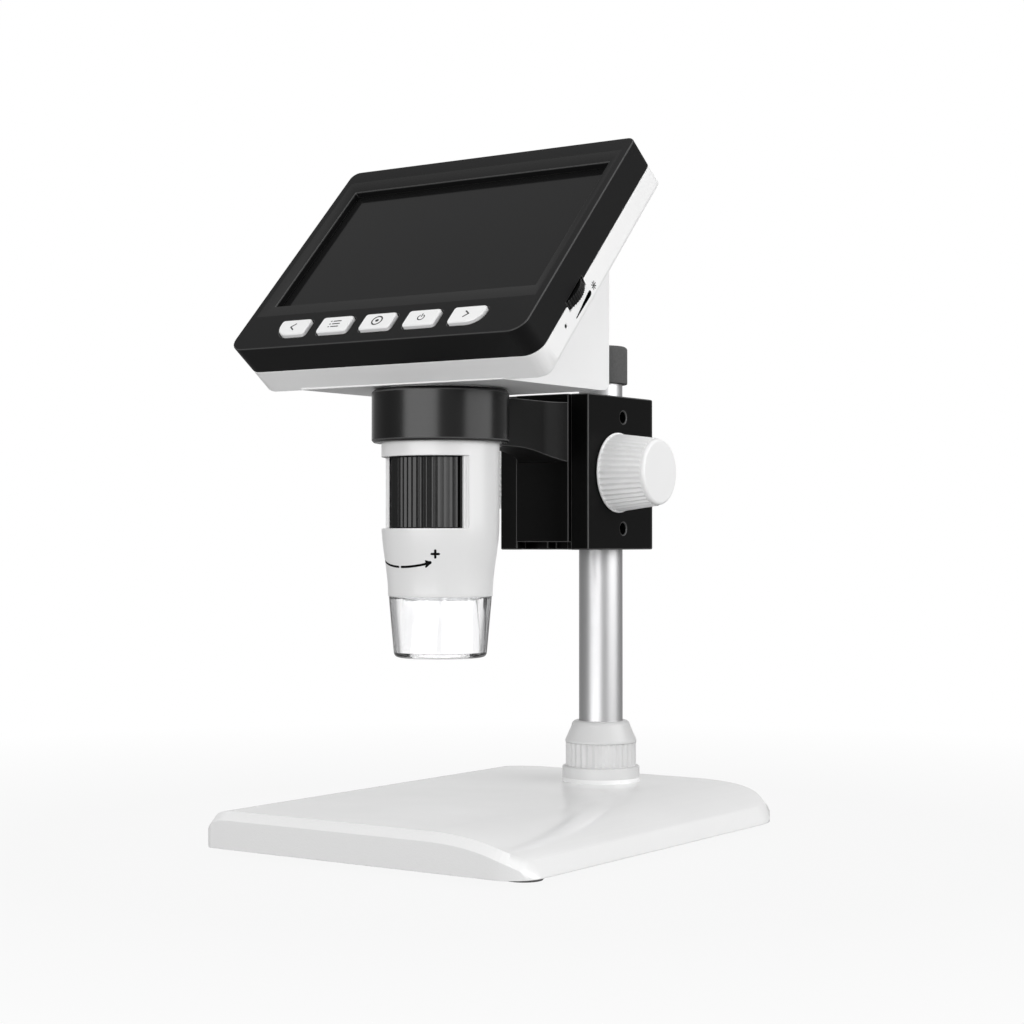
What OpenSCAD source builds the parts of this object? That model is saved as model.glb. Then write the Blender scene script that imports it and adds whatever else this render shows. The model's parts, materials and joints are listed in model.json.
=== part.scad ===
// Digital microscope with its own screen, on a stand with a rack and pinion.
// Origin: the middle of the base, on the surface that it stands on.
// X runs across, -Y is the front, Z is up. All lengths are in millimetres.

/* [Base] */
// Width of the base, left to right
base_w = 118; // [100:1:150]
// Depth of the base, front to back
base_d = 162; // [150:1:190]
// Height of the flat top above the table
base_top = 13.4; // [11:0.2:18]
// Radius of the front right corner, seen from above
front_corner_r = 10; // [6:1:14]
// Radius of the front left corner, seen from above
front_left_r = 3; // [2:0.5:5]
// Radius of the two back corners, seen from above
back_corner_r = 21; // [12:1:26]
// Width of the soft edge along the front and back
edge_soft = 2.6; // [1.5:0.1:3.5]
// How far in the rounded left end reaches
nose_run = 8; // [6:0.5:10]
// How far in the right slope starts
slope_run = 34; // [26:1:38]
// Thickness of the thin right edge
thin_edge = 1.1; // [0.8:0.1:2]
// Wall of the base cover
base_wall = 2.4; // [1.8:0.1:3]
// Thickness of the steel plate under the cover
plate_t = 2; // [1.5:0.5:3]
// Height of the rubber feet below the cover
foot_h = 2; // [1.5:0.1:3]
// Diameter of a rubber foot
foot_d = 13; // [10:1:16]

/* [Post] */
// Diameter of the post
post_d = 15; // [13:0.1:15.4]
// Height of the top of the post above the table
post_top = 160.5; // [156:0.5:175]
// Wall of the post tube
post_wall = 2; // [1.5:0.1:3]
// Distance of the post from the back edge of the base
post_inset = 27.5; // [24:0.5:34]
// Diameter of the cap on the post
cap_d = 18.4; // [17.5:0.1:22]
// Height of the cap
cap_h = 13; // [10:0.5:16]
// Thickness of the top of the cap
cap_top_t = 2; // [1.5:0.1:3]

/* [Collar nut] */
// Diameter of the fluted band
nut_d = 24.2; // [24:0.1:26]
// Height of the fluted band
nut_band_h = 8.8; // [7:0.1:11]
// Diameter of the plain ring under the band
nut_foot_d = 26.5; // [26.2:0.1:29]
// Height of the plain ring
nut_foot_h = 3.9; // [3:0.1:5]
// Height of the shoulder above the band
nut_dome_h = 6.7; // [6:0.1:9]
// Number of flutes round the band
nut_flutes = 32; // [24:1:40]
// Height of the seat that the nut stands on
nut_seat_h = 1.4; // [1:0.1:2]

/* [Stand block] */
// Width of the block
block_w = 35; // [32:0.1:38]
// Height of the block
block_h = 51.2; // [50:0.1:56]
// Height of the bottom of the block above the table
block_z = 92.8; // [90:0.1:94]
// Distance from the front face of the block to the post axis
block_reach = 35.5; // [35:0.1:38]
// Material behind the post
block_back_wall = 2.1; // [2:0.1:5]
// Radius of the two back edges
block_back_r = 6; // [4:0.5:7]
// Diameter of the holes in the right side
side_hole_d = 4; // [3:0.5:5]
// Distance of the side holes above and below the pinion
side_hole_rise = 18.6; // [17:0.05:20]

/* [Rack and pinion] */
// Size of the teeth, as pitch diameter over number of teeth
tooth_module = 0.8; // [0.7:0.05:0.85]
// Number of teeth on the pinion
pinion_teeth = 14; // [12:1:15]
// Width of the rack and of the pinion
rack_w = 7; // [5:0.5:9]
// Diameter of the pinion shaft
shaft_d = 5; // [4:0.5:6]
// Distance of the pinion behind the front face of the block
pinion_back = 17.8; // [17.4:0.1:18.6]
// Travel of the carriage, up or down from the middle
rack_travel = 18; // [10:1:19]

/* [Height knobs] */
// Diameter of the rim at the block
knob_d = 26.6; // [24:0.2:29]
// Diameter at the outer end of the flutes
knob_end_d = 22.4; // [18:0.2:24]
// Length of the knob
knob_l = 16.5; // [12:0.1:20]
// Number of flutes
knob_flutes = 40; // [30:1:48]

/* [Carriage and ring] */
// Width of the carriage at the front
carriage_w = 20.6; // [18:0.2:22]
// How far the carriage widens inside the block, each side
dovetail_grow = 2.4; // [1.5:0.1:2.6]
// Depth of the carriage
carriage_t = 9; // [8.6:0.1:9.4]
// How far the carriage stands out of the block
carriage_proud = 1; // [0.5:0.1:1.5]
// Height of the foot of the carriage above the bottom of the block
carriage_rise = 2.6; // [1.5:0.1:3.5]
// Distance from the post axis to the axis of the tube
tube_reach = 92.7; // [92:0.1:100]
// Outer diameter of the clamp ring
ring_d = 42.3; // [41.5:0.1:46]
// Height of the clamp ring
ring_h = 16.4; // [14:0.1:18]
// Height of the bottom of the ring above the bottom of the block
ring_rise = 33; // [32.5:0.1:34.5]
// Width of the arm at its waist
arm_w = 13; // [10:0.5:15]

/* [Tube] */
// Diameter of the tube in the ring
tube_d = 36.3; // [36:0.1:38]
// Diameter of the tube at its lower end
tube_end_d = 32.1; // [31.5:0.1:33.5]
// Wall of the tube
tube_wall = 2.4; // [2.2:0.1:2.6]
// Length of the tube below the ring
tube_drop = 47; // [46:0.1:52]
// Half angle of the window for the focus wheel
window_half = 61; // [45:1:62]
// Height of the window
window_h = 21.8; // [18:0.1:23]
// Distance of the top of the window below the ring
window_drop = 4.4; // [4:0.1:6]
// Depth of the flat round the window
window_dish = 1.1; // [0.6:0.1:1.2]
// Number of flutes on the focus wheel
wheel_flutes = 54; // [40:1:64]
// Travel of the lens barrel, up or down from the middle
lens_travel = 5; // [3:0.5:5]
// Length of the clear shield below the tube
shield_l = 18.7; // [14:0.1:20]
// Diameter of the shield at its lower end
shield_end_d = 28.6; // [26:0.1:30]
// Wall of the shield
shield_wall = 1.6; // [1.2:0.1:2]

/* [Screen head] */
// Lean of the screen back from upright
screen_tilt = 44; // [41:1:46]
// Lean of the case walls against the screen's normal
wall_rake = 8; // [6:0.5:9]
// Width of the opening over the screen
open_w = 98; // [92:0.5:99]
// Height of the opening
open_h = 57.2; // [54:0.2:59]
// Bezel at the left and right of the opening
side_border = 5.9; // [5.4:0.1:8]
// Bezel above the opening
brow_h = 10; // [8.6:0.1:12]
// Bezel below the opening, with the keys
chin_h = 21.7; // [21:0.1:26]
// Depth of the black bezel
bezel_depth = 10.8; // [10.4:0.1:12]
// Depth of the white tray behind the bezel
tray_depth = 9.2; // [8:0.1:10]
// Height of the face above the glass
bezel_rise = 3.4; // [3:0.1:4]
// Height of the inner lip above the glass
lip_rise = 2.2; // [1.6:0.1:2.6]
// Wall of the head's case
case_wall = 2; // [1.6:0.1:2.1]
// Width of the rear body
rear_w = 76.6; // [70:0.2:84]
// Distance from the axis of the tube to the back of the rear body
rear_reach = 36.8; // [34:0.2:40]
// Distance from the axis of the tube to the tray's lower edge
front_reach = 20; // [19.5:0.1:22]
// Radius of the upper corners
top_corner_r = 3; // [2:0.5:4]
// Radius of the lower corners
low_corner_r = 5.5; // [3:0.5:6]
// Radius of the rear body's lower edge
rear_edge_r = 3; // [2.5:0.5:7]
// Radius of the tray's back edges
tray_edge_r = 3; // [2:0.5:4]

/* [Keys and wheels] */
// Width of a key
key_w = 11.6; // [11:0.1:13]
// Height of a key
key_h = 6.9; // [6:0.1:7.6]
// Distance from key to key
key_pitch = 16.3; // [15.6:0.1:17]
// Height of the keys above the face
key_proud = 1; // [0.6:0.1:1.4]
// Travel of a key
key_travel = 0.4; // [0.2:0.1:0.4]
// Diameter of the brightness wheel
dimmer_d = 20; // [18:0.5:21]
// Thickness of the brightness wheel
dimmer_t = 2.8; // [2.4:0.1:3]
// How far the brightness wheel stands out of the side
dimmer_proud = 1.6; // [1:0.1:2]

/* [Hidden] */

// Clearances and the overrun of every cut
overrun = 1;
running_fit = 0.05;
turning_fit = 0.1;
slide_gap = 0.3;
key_gap = 0.3;
screw_gap = 0.05;
$fn = 64;

// Steps on an arc
corner_steps = 8;
profile_steps = 20;

function arc_points(x, y, r, from, to, steps) =
    [for (i = [0:steps]) let (a = from + (to - from) * i / steps) [x + r * cos(a), y + r * sin(a)]];

function rounded_box(w, low, high, r_low, r_high) = concat(
    arc_points(w / 2 - r_low, low + r_low, r_low, -90, 0, corner_steps),
    arc_points(w / 2 - r_high, high - r_high, r_high, 0, 90, corner_steps),
    arc_points(-w / 2 + r_high, high - r_high, r_high, 90, 180, corner_steps),
    arc_points(-w / 2 + r_low, low + r_low, r_low, 180, 270, corner_steps));

// A wheel outline with rounded flutes, four points to each flute
function fluted_outline(r, depth, count) =
    [for (i = [0:4 * count - 1]) let (a = 360 * i / (4 * count), cut = (i % 4 == 2) ? 1 : (i % 2 == 1 ? 0.6 : 0))
        [(r - depth * cut) * cos(a), (r - depth * cut) * sin(a)]];

// A screw along +Z with its head below Z = 0 when it points up
module screw(d, l, head_d, head_h) {
    translate([0, 0, -head_h])
        difference() {
            cylinder(d = head_d, h = head_h, $fn = 32);
            translate([0, 0, -overrun]) cylinder(d = d, h = overrun + head_h / 2, $fn = 6);
        }
    cylinder(d = d, h = l, $fn = 32);
}

// Base

post_y = base_d / 2 - post_inset;
base_low = foot_h;
base_crown = base_top - base_low;
thin_z = base_low + thin_edge;
slope_x = base_w / 2 - slope_run;
cavity_in = base_wall + edge_soft / 2;

function nose_points(grow, steps) =
    [for (i = [0:steps]) let (a = 270 - 180 * i / steps)
        [-base_w / 2 - grow + nose_run * (1 + cos(a)), base_low + base_crown / 2 * (1 + sin(a)) + grow * sin(a)]];

function slope_points(grow, steps) =
    [for (i = [0:steps]) let (a = 90 * i / steps)
        [slope_x + (slope_run + grow) * sin(a), thin_z + grow + (base_top - thin_z) * cos(a)]];

least_corner_r = 0.3;

module base_plan(inset) {
    half = base_w / 2 - inset;
    front = -base_d / 2 + inset;
    back = base_d / 2 - inset;
    left_r = max(front_left_r - inset, least_corner_r);
    right_r = front_corner_r - inset;
    back_r = back_corner_r - inset;
    polygon(concat(
        arc_points(half - right_r, front + right_r, right_r, -90, 0, corner_steps),
        arc_points(half - back_r, back - back_r, back_r, 0, 90, corner_steps),
        arc_points(-half + back_r, back - back_r, back_r, 90, 180, corner_steps),
        arc_points(-half + left_r, front + left_r, left_r, 180, 270, corner_steps)));
}

// The shape of the front wall, drawn across the base and run from front to back
module base_profile(drop) {
    translate([0, base_d / 2, 0])
        rotate([90, 0, 0])
            linear_extrude(base_d)
                polygon(concat(
                    [for (p = nose_points(0, profile_steps)) [p[0], max(p[1] - drop, base_low)]],
                    [for (p = slope_points(0, profile_steps)) [p[0], max(p[1] - drop, base_low + thin_edge / 2)]],
                    [[base_w / 2, base_low]]));
}

module base_block(inset, drop) {
    intersection() {
        translate([0, 0, base_low]) linear_extrude(base_crown) base_plan(inset);
        base_profile(drop);
    }
}

// The space under the cover, with the roof kept one wall below the top
roof_z = base_top - base_wall;
cavity_l = base_d - 2 * cavity_in;

module base_cavity() {
    intersection() {
        translate([0, 0, base_low - overrun]) linear_extrude(base_crown + overrun) base_plan(cavity_in);
        translate([0, cavity_l / 2, 0])
            rotate([90, 0, 0])
                linear_extrude(cavity_l)
                    polygon(concat(
                        [[-base_w / 2 + nose_run, base_low - overrun], [-base_w / 2 + nose_run, roof_z]],
                        [for (p = slope_points(-base_wall, profile_steps / 2)) if (p[1] > base_low) p],
                        [[slope_x + slope_run - 2 * base_wall, base_low - overrun]]));
    }
}

// What carries the post: a socket in the base and a threaded stub above it
nut_z = base_top + nut_seat_h;
nut_wall = 1.4;
nut_flute_depth = 0.5;
stub_d = nut_d - 2 * nut_flute_depth - 2 * nut_wall;
stub_top = nut_z + nut_foot_h + nut_band_h / 2;
socket_d = post_d + 2 * running_fit;
socket_floor = 2;
post_foot = base_low + plate_t + socket_floor;
socket_wall = 3.2;

// Places of the four corner screws and feet, as shares of the base's half sizes
screw_shares = [[-0.70, -0.50], [0.62, -0.70], [0.40, 0.80], [-0.50, 0.84]];
foot_shares = [[-0.72, -0.765], [0.82, -0.80], [0.60, 0.70], [-0.72, 0.76]];
base_screw_d = 3;
base_boss_d = 7.5;
plate_gap = 0.2;

module at_shares(shares) {
    for (s = shares)
        translate([s[0] * base_w / 2, s[1] * base_d / 2, 0]) children();
}

module base_cover() {
    color("white")
        difference() {
            union() {
                difference() {
                    hull() {
                        base_block(0, edge_soft);
                        base_block(edge_soft, 0);
                    }
                    difference() {
                        base_cavity();
                        translate([0, post_y, base_low + plate_t])
                            cylinder(d = post_d + 2 * socket_wall, h = base_crown);
                        at_shares(screw_shares)
                            translate([0, 0, base_low + plate_t]) cylinder(d = base_boss_d, h = base_crown, $fn = 32);
                    }
                }
                translate([0, post_y, roof_z]) cylinder(d = nut_foot_d, h = nut_z - roof_z);
                translate([0, post_y, roof_z]) cylinder(d = stub_d, h = stub_top - roof_z);
            }
            translate([0, post_y, post_foot]) cylinder(d = socket_d, h = stub_top);
            at_shares(screw_shares)
                translate([0, 0, base_low - overrun])
                    cylinder(d = base_screw_d + 2 * screw_gap, h = overrun + plate_t + base_crown / 2, $fn = 32);
        }
}

plate_rim = 4;
plate_inset = cavity_in + plate_rim;
plate_w = base_w - 2 * nose_run - plate_rim / 2;

module base_plate() {
    front = -base_d / 2 + plate_inset;
    back = base_d / 2 - plate_inset;
    color("silver")
        difference() {
            translate([0, 0, base_low])
                linear_extrude(plate_t - plate_gap / 2)
                    polygon(rounded_box(plate_w, front, back, front_corner_r / 2, back_corner_r - plate_inset / 2));
            at_shares(screw_shares)
                translate([0, 0, base_low - overrun])
                    cylinder(d = base_screw_d + 2 * screw_gap, h = plate_t + 2 * overrun, $fn = 32);
        }
}

base_head_d = 5.6;
base_head_h = 1.4;

module base_screws() {
    color("dimgray")
        at_shares(screw_shares)
            translate([0, 0, base_low]) screw(base_screw_d, plate_t + base_crown / 2 - screw_gap, base_head_d, base_head_h);
}

module rubber_feet() {
    color("gray")
        at_shares(foot_shares)
            difference() {
                cylinder(d1 = foot_d - foot_h, d2 = foot_d, h = foot_h, $fn = 32);
                translate([0, 0, -overrun]) cylinder(d = foot_d / 3, h = overrun + foot_h / 4, $fn = 32);
            }
}

// Post, its cap and the collar nut

module post() {
    color("gainsboro")
        translate([0, post_y, post_foot])
            difference() {
                cylinder(d = post_d, h = post_top - post_foot);
                translate([0, 0, -overrun]) cylinder(d = post_d - 2 * post_wall, h = post_top - post_foot + 2 * overrun);
            }
}

cap_z = post_top + cap_top_t - cap_h;
cap_edge = 0.8;

module post_cap() {
    color([0.16, 0.16, 0.17])
        translate([0, post_y, cap_z])
            difference() {
                rotate_extrude()
                    polygon([[0, 0], [cap_d / 2, 0], [cap_d / 2, cap_h - cap_edge],
                             [cap_d / 2 - cap_edge, cap_h], [0, cap_h]]);
                translate([0, 0, -overrun]) cylinder(d = post_d, h = cap_h - cap_top_t + overrun);
            }
}

nut_h = nut_foot_h + nut_band_h + nut_dome_h;
nut_top_d = post_d + 1.8 * cap_edge;
nut_shoulder_d = nut_d - 5 * cap_edge;
nut_lip = 0.8;
grip_h = 6;

module collar_nut() {
    band_top = nut_foot_h + nut_band_h;
    core_r = nut_d / 2 - 2 * nut_flute_depth;
    color("white")
        translate([0, post_y, nut_z])
            difference() {
                union() {
                    rotate_extrude()
                        polygon(concat(
                            [[0, 0], [nut_foot_d / 2, 0], [nut_foot_d / 2, nut_foot_h - cap_edge / 2],
                             [nut_foot_d / 2 - cap_edge / 2, nut_foot_h], [core_r, nut_foot_h],
                             [core_r, band_top - nut_lip], [nut_d / 2 + nut_lip / 8, band_top - nut_lip],
                             [nut_d / 2 + nut_lip / 8, band_top], [nut_shoulder_d / 2, nut_h - 2.4 * cap_edge]],
                            arc_points(nut_shoulder_d / 2 - 2.4 * cap_edge, nut_h - 2.4 * cap_edge, 2.4 * cap_edge,
                                       15, 90, corner_steps),
                            [[0, nut_h]]));
                    translate([0, 0, nut_foot_h / 2])
                        linear_extrude(nut_foot_h / 2 + nut_band_h - nut_lip / 2)
                            polygon(fluted_outline(nut_d / 2, nut_flute_depth, nut_flutes));
                }
                translate([0, 0, -overrun])
                    cylinder(d = stub_d + 2 * turning_fit, h = overrun + stub_top - nut_z + slide_gap + grip_h);
                cylinder(d = post_d + 2 * turning_fit, h = nut_h + overrun);
            }
}

module grip_sleeve() {
    outer = stub_d - 2 * slide_gap;
    color("dimgray")
        translate([0, post_y, stub_top])
            difference() {
                cylinder(d = outer, h = grip_h - slide_gap);
                translate([0, 0, -overrun]) cylinder(d = post_d + 2 * turning_fit, h = grip_h + 2 * overrun);
                translate([0, -plate_gap, -overrun]) cube([outer, 2 * plate_gap, grip_h + 2 * overrun]);
            }
}

// Stand block with its dovetail, pinion and post bores

block_front = post_y - block_reach;
block_back = post_y + post_d / 2 + block_back_wall;
block_mid = block_z + block_h / 2;
pinion_y = block_front + pinion_back;
pitch_r = tooth_module * pinion_teeth / 2;
tip_r = pitch_r + tooth_module;
root_r = pitch_r - 1.25 * tooth_module;
rack_line = pinion_y - pitch_r;
carriage_front = block_front - carriage_proud;
carriage_rear = carriage_front + carriage_t;
edge_break = 0.8;

// Plan of the dovetail, wide inside and narrow at the front
module dovetail_plan(grow, front) {
    half = carriage_w / 2 + grow;
    wide = half + dovetail_grow;
    neck = block_front + carriage_t / 3;
    rear = carriage_rear + grow;
    polygon([[-half, front], [half, front], [half, neck], [wide, rear], [-wide, rear], [-half, neck]]);
}

// Open channel for the rack and pocket for the pinion
module gear_space() {
    half = rack_w / 2 + slide_gap;
    translate([-half, carriage_rear - overrun, block_z - overrun])
        cube([2 * half, rack_line + tooth_module + slide_gap - carriage_rear + overrun, block_h + 2 * overrun]);
    translate([-half, pinion_y, block_mid]) rotate([0, 90, 0]) cylinder(r = tip_r + slide_gap, h = 2 * half);
}

module block_plan() {
    half = block_w / 2;
    polygon(concat(
        arc_points(half - edge_break, block_front + edge_break, edge_break, -90, 0, 3),
        arc_points(half - block_back_r, block_back - block_back_r, block_back_r, 0, 90, corner_steps),
        arc_points(-half + block_back_r, block_back - block_back_r, block_back_r, 90, 180, corner_steps),
        arc_points(-half + edge_break, block_front + edge_break, edge_break, 180, 270, 3)));
}

side_hole_back = 4;
side_hole_y = pinion_y + side_hole_back;
side_hole_l = 7;
set_screw_d = 4;
set_screw_rise = block_h / 4;

module stand_block() {
    color([0.06, 0.06, 0.06])
        difference() {
            translate([0, 0, block_z]) linear_extrude(block_h) block_plan();
            translate([0, 0, block_z - overrun])
                linear_extrude(block_h + 2 * overrun) dovetail_plan(slide_gap, carriage_front - overrun);
            gear_space();
            translate([0, post_y, block_z - overrun]) cylinder(d = socket_d, h = block_h + 2 * overrun);
            translate([-block_w / 2 - overrun, pinion_y, block_mid])
                rotate([0, 90, 0]) cylinder(d = shaft_d + 2 * running_fit, h = block_w + 2 * overrun);
            for (s = [-1, 1]) {
                translate([block_w / 2 - side_hole_l, side_hole_y, block_mid + s * side_hole_rise])
                    rotate([0, 90, 0]) cylinder(d = side_hole_d, h = side_hole_l + overrun, $fn = 32);
                translate([-block_w / 2 - overrun, post_y, block_mid + s * set_screw_rise])
                    rotate([0, 90, 0]) cylinder(d = set_screw_d, h = block_w / 2 + overrun, $fn = 32);
            }
        }
}

set_screw_sink = 1;
set_screw_l = block_w / 2 - post_d / 2 - 2 * turning_fit - set_screw_sink;
side_screw_l = 4;

module set_screw(d, l) {
    difference() {
        cylinder(d = d, h = l, $fn = 32);
        translate([0, 0, l / 2]) cylinder(d = d / 2, h = l, $fn = 6);
    }
}

module post_set_screws() {
    color("dimgray")
        for (s = [-1, 1])
            translate([-block_w / 2 + set_screw_sink + set_screw_l, post_y, block_mid + s * set_screw_rise])
                rotate([0, -90, 0]) set_screw(set_screw_d, set_screw_l);
}

module side_set_screws() {
    color("dimgray")
        for (s = [-1, 1])
            translate([block_w / 2 - side_hole_l, side_hole_y, block_mid + s * side_hole_rise])
                rotate([0, 90, 0]) set_screw(side_hole_d, side_screw_l);
}

// Pinion: involute teeth on a shaft along X

pressure = 20;
backlash = 0.12;
base_r = pitch_r * cos(pressure);
function roll(r) = let (a = acos(min(1, base_r / r))) tan(a) * 180 / PI - a;
function tooth_half(r) = 90 / pinion_teeth - backlash / pitch_r * 90 / PI + roll(pitch_r) - roll(r);
flank_steps = 4;
flank_r = [for (i = [0:flank_steps]) base_r + (tip_r - base_r) * i / flank_steps];

function tooth_points(mid) = concat(
    [let (a = mid - tooth_half(base_r)) [root_r * cos(a), root_r * sin(a)]],
    [for (r = flank_r) let (a = mid - tooth_half(r)) [r * cos(a), r * sin(a)]],
    [for (i = [flank_steps:-1:0]) let (r = flank_r[i], a = mid + tooth_half(r)) [r * cos(a), r * sin(a)]],
    [let (a = mid + tooth_half(base_r)) [root_r * cos(a), root_r * sin(a)]]);

knob_gap = 0.3;
knob_x = block_w / 2 + knob_gap;
shaft_end = knob_x + 0.7 * knob_l;

module pinion_shaft() {
    // A space between teeth faces the rack, so the first tooth is turned half a pitch off it
    start = 180 / pinion_teeth;
    color("silver")
        translate([0, pinion_y, block_mid]) {
            translate([-rack_w / 2, 0, 0])
                rotate([90, 0, 90])
                    linear_extrude(rack_w)
                        polygon([for (i = [0:pinion_teeth - 1]) each tooth_points(180 + start + 360 * i / pinion_teeth)]);
            translate([-shaft_end, 0, 0]) rotate([0, 90, 0]) cylinder(d = shaft_d, h = 2 * shaft_end);
        }
}

knob_flute_depth = 0.6;
knob_rim = 0.5;
knob_step = 0.35;
knob_flute_share = 0.9;
knob_soft_r = 1.1;

module knob_form() {
    crest_r = (knob_d - knob_rim) / 2;
    fluted_l = knob_l * knob_flute_share;
    disc_r = knob_end_d / 2 - knob_step;
    color("white")
        difference() {
            union() {
                cylinder(d = knob_d, h = knob_rim);
                linear_extrude(fluted_l, scale = knob_end_d / 2 / crest_r)
                    polygon(fluted_outline(crest_r, knob_flute_depth, knob_flutes));
                rotate_extrude()
                    polygon(concat(
                        [[0, knob_rim], [disc_r, fluted_l - knob_rim]],
                        arc_points(disc_r - knob_soft_r, knob_l - knob_soft_r, knob_soft_r, 0, 90, corner_steps),
                        [[0, knob_l]]));
            }
            translate([0, 0, -overrun]) cylinder(d = shaft_d, h = shaft_end - knob_x + overrun);
        }
}

module right_knob() {
    translate([knob_x, pinion_y, block_mid]) rotate([0, 90, 0]) knob_form();
}

module left_knob() {
    translate([-knob_x, pinion_y, block_mid]) rotate([0, -90, 0]) knob_form();
}

// Carriage with the rack on its back

rack_l = block_h - 2 * carriage_rise;
carriage_low = block_z + carriage_rise;
rack_pitch = PI * tooth_module;
rack_screw_d = 2;
rack_head_d = 4;
rack_head_h = 1.4;
rack_screw_shares = [-0.34, 0.34];
arm_screw_d = 3;
arm_low_rise = 28.8;
arm_screw_shares = [0.2, 0.87];

ring_z = block_z + ring_rise;
ring_top = ring_z + ring_h;
arm_low = block_z + arm_low_rise;
arm_tall = ring_top - arm_low;

module along_carriage(shares) {
    for (s = shares)
        translate([0, 0, block_mid + s * block_h]) children();
}

rack_thread = carriage_t / 3;
arm_thread = carriage_t / 2;
arm_bite = 2.5 * arm_screw_d;
rack_foot_y = rack_line - 1.25 * tooth_module;
rack_seat_y = rack_foot_y - rack_head_h - slide_gap;

module carriage() {
    color([0.08, 0.08, 0.08])
        difference() {
            translate([0, 0, carriage_low]) linear_extrude(block_h - carriage_rise) dovetail_plan(0, carriage_front);
            along_carriage(rack_screw_shares)
                translate([0, carriage_rear + overrun, 0])
                    rotate([90, 0, 0])
                        cylinder(d = rack_screw_d + 2 * screw_gap, h = rack_thread + screw_gap + overrun, $fn = 32);
            for (s = arm_screw_shares)
                translate([0, carriage_front - overrun, arm_low + s * arm_tall])
                    rotate([-90, 0, 0])
                        cylinder(d = arm_screw_d + 2 * screw_gap, h = arm_thread + screw_gap + overrun, $fn = 32);
        }
}

module rack() {
    half = rack_pitch / 4 - backlash / 2;
    lean = tan(pressure);
    top_half = half - tooth_module * lean;
    foot_half = half + 1.25 * tooth_module * lean;
    foot_y = rack_foot_y;
    tip_y = rack_line + tooth_module;
    last = floor((rack_l / 2 - foot_half) / rack_pitch);
    color("silver")
        difference() {
            translate([-rack_w / 2, 0, block_mid])
                rotate([90, 0, 90])
                    linear_extrude(rack_w)
                        polygon(concat(
                            [[carriage_rear, rack_l / 2], [carriage_rear, -rack_l / 2], [foot_y, -rack_l / 2]],
                            [for (i = [-last:last]) each
                                [[foot_y, i * rack_pitch - foot_half], [tip_y, i * rack_pitch - top_half],
                                 [tip_y, i * rack_pitch + top_half], [foot_y, i * rack_pitch + foot_half]]],
                            [[foot_y, rack_l / 2]]));
            along_carriage(rack_screw_shares) {
                translate([0, carriage_rear - overrun, 0])
                    rotate([-90, 0, 0])
                        cylinder(d = rack_screw_d + 2 * screw_gap, h = rack_seat_y - carriage_rear + 2 * overrun, $fn = 32);
                translate([0, rack_seat_y, 0])
                    rotate([-90, 0, 0])
                        cylinder(d = rack_head_d + 2 * screw_gap, h = tip_y - rack_seat_y + overrun, $fn = 32);
            }
        }
}

module rack_screws() {
    color("dimgray")
        along_carriage(rack_screw_shares)
            translate([0, rack_seat_y, 0])
                rotate([90, 0, 0])
                    screw(rack_screw_d, rack_seat_y - carriage_rear + rack_thread, rack_head_d, rack_head_h);
}

// Clamp ring with its arm, one casting

tube_y = post_y - tube_reach;
tube_r = tube_d / 2;
ring_r = ring_d / 2;
arm_flare_r = 14;
arm_chamfer = 1;
ring_low_chamfer = 0.7;

module arm_plan() {
    waist = arm_w / 2;
    foot = carriage_w / 2;
    flare = min(arm_flare_r, (carriage_front - tube_y - ring_r) / 2);
    grow = foot - waist;
    bow = acos(max(0, 1 - grow / flare));
    side = [for (i = [0:corner_steps]) let (a = bow * i / corner_steps)
        [waist + flare * (1 - cos(a)), carriage_front - flare * sin(bow) + flare * sin(a)]];
    polygon(concat(
        [[waist, tube_y + ring_r - ring_r / 6]], side,
        [for (i = [corner_steps:-1:0]) [-side[i][0], side[i][1]]],
        [[-waist, tube_y + ring_r - ring_r / 6]]));
}

// Side view of the arm: level along the ring, then falling to its foot on the carriage
module arm_side() {
    start = tube_y;
    turn = tube_y + ring_r + (carriage_front - tube_y - ring_r) / 4;
    run = carriage_front - turn;
    top_z = ring_top - arm_chamfer;
    translate([-ring_r, 0, 0])
        rotate([90, 0, 90])
            linear_extrude(2 * ring_r)
                polygon(concat(
                    [[start, top_z], [start, ring_z]],
                    [for (i = [0:corner_steps]) let (a = i / corner_steps)
                        [turn + run * a, ring_z - (ring_z - arm_low) * a * a]],
                    [[carriage_front, top_z]]));
}

module clamp_arm() {
    color([0.08, 0.08, 0.08])
        difference() {
            union() {
                translate([0, tube_y, ring_z])
                    rotate_extrude()
                        polygon([[0, 0], [ring_r - ring_low_chamfer, 0], [ring_r, ring_low_chamfer],
                                 [ring_r, ring_h - arm_chamfer], [ring_r - arm_chamfer, ring_h], [0, ring_h]]);
                intersection() {
                    translate([0, 0, arm_low]) linear_extrude(arm_tall) arm_plan();
                    arm_side();
                }
            }
            translate([0, tube_y, ring_z - overrun]) cylinder(r = tube_r + turning_fit, h = ring_h + 2 * overrun);
            for (s = arm_screw_shares)
                translate([0, carriage_front + overrun, arm_low + s * arm_tall])
                    rotate([90, 0, 0])
                        cylinder(d = arm_screw_d + 2 * screw_gap, h = overrun + arm_bite + screw_gap, $fn = 32);
        }
}

module arm_screws() {
    color("dimgray")
        for (s = arm_screw_shares)
            translate([0, carriage_front + arm_thread, arm_low + s * arm_tall])
                rotate([90, 0, 0]) cylinder(d = arm_screw_d, h = arm_thread + arm_bite, $fn = 32);
}

// Tube with the focus wheel, lens barrel, lights and clear shield

tube_low = ring_z - tube_drop;
tube_in_r = tube_r - tube_wall;
window_top = ring_z - window_drop;
window_low = window_top - window_h;
head_gap = 0.3;
head_z = ring_top + head_gap;
tube_top = head_z + case_wall;
flange_t = 1.6;
flange_r = tube_r + 1.25 * flange_t;
end_r = tube_end_d / 2;
end_in_r = end_r - tube_wall;
taper_top = window_low + window_h / 10;
dish_left = 17;
dish_right = 4;

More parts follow.
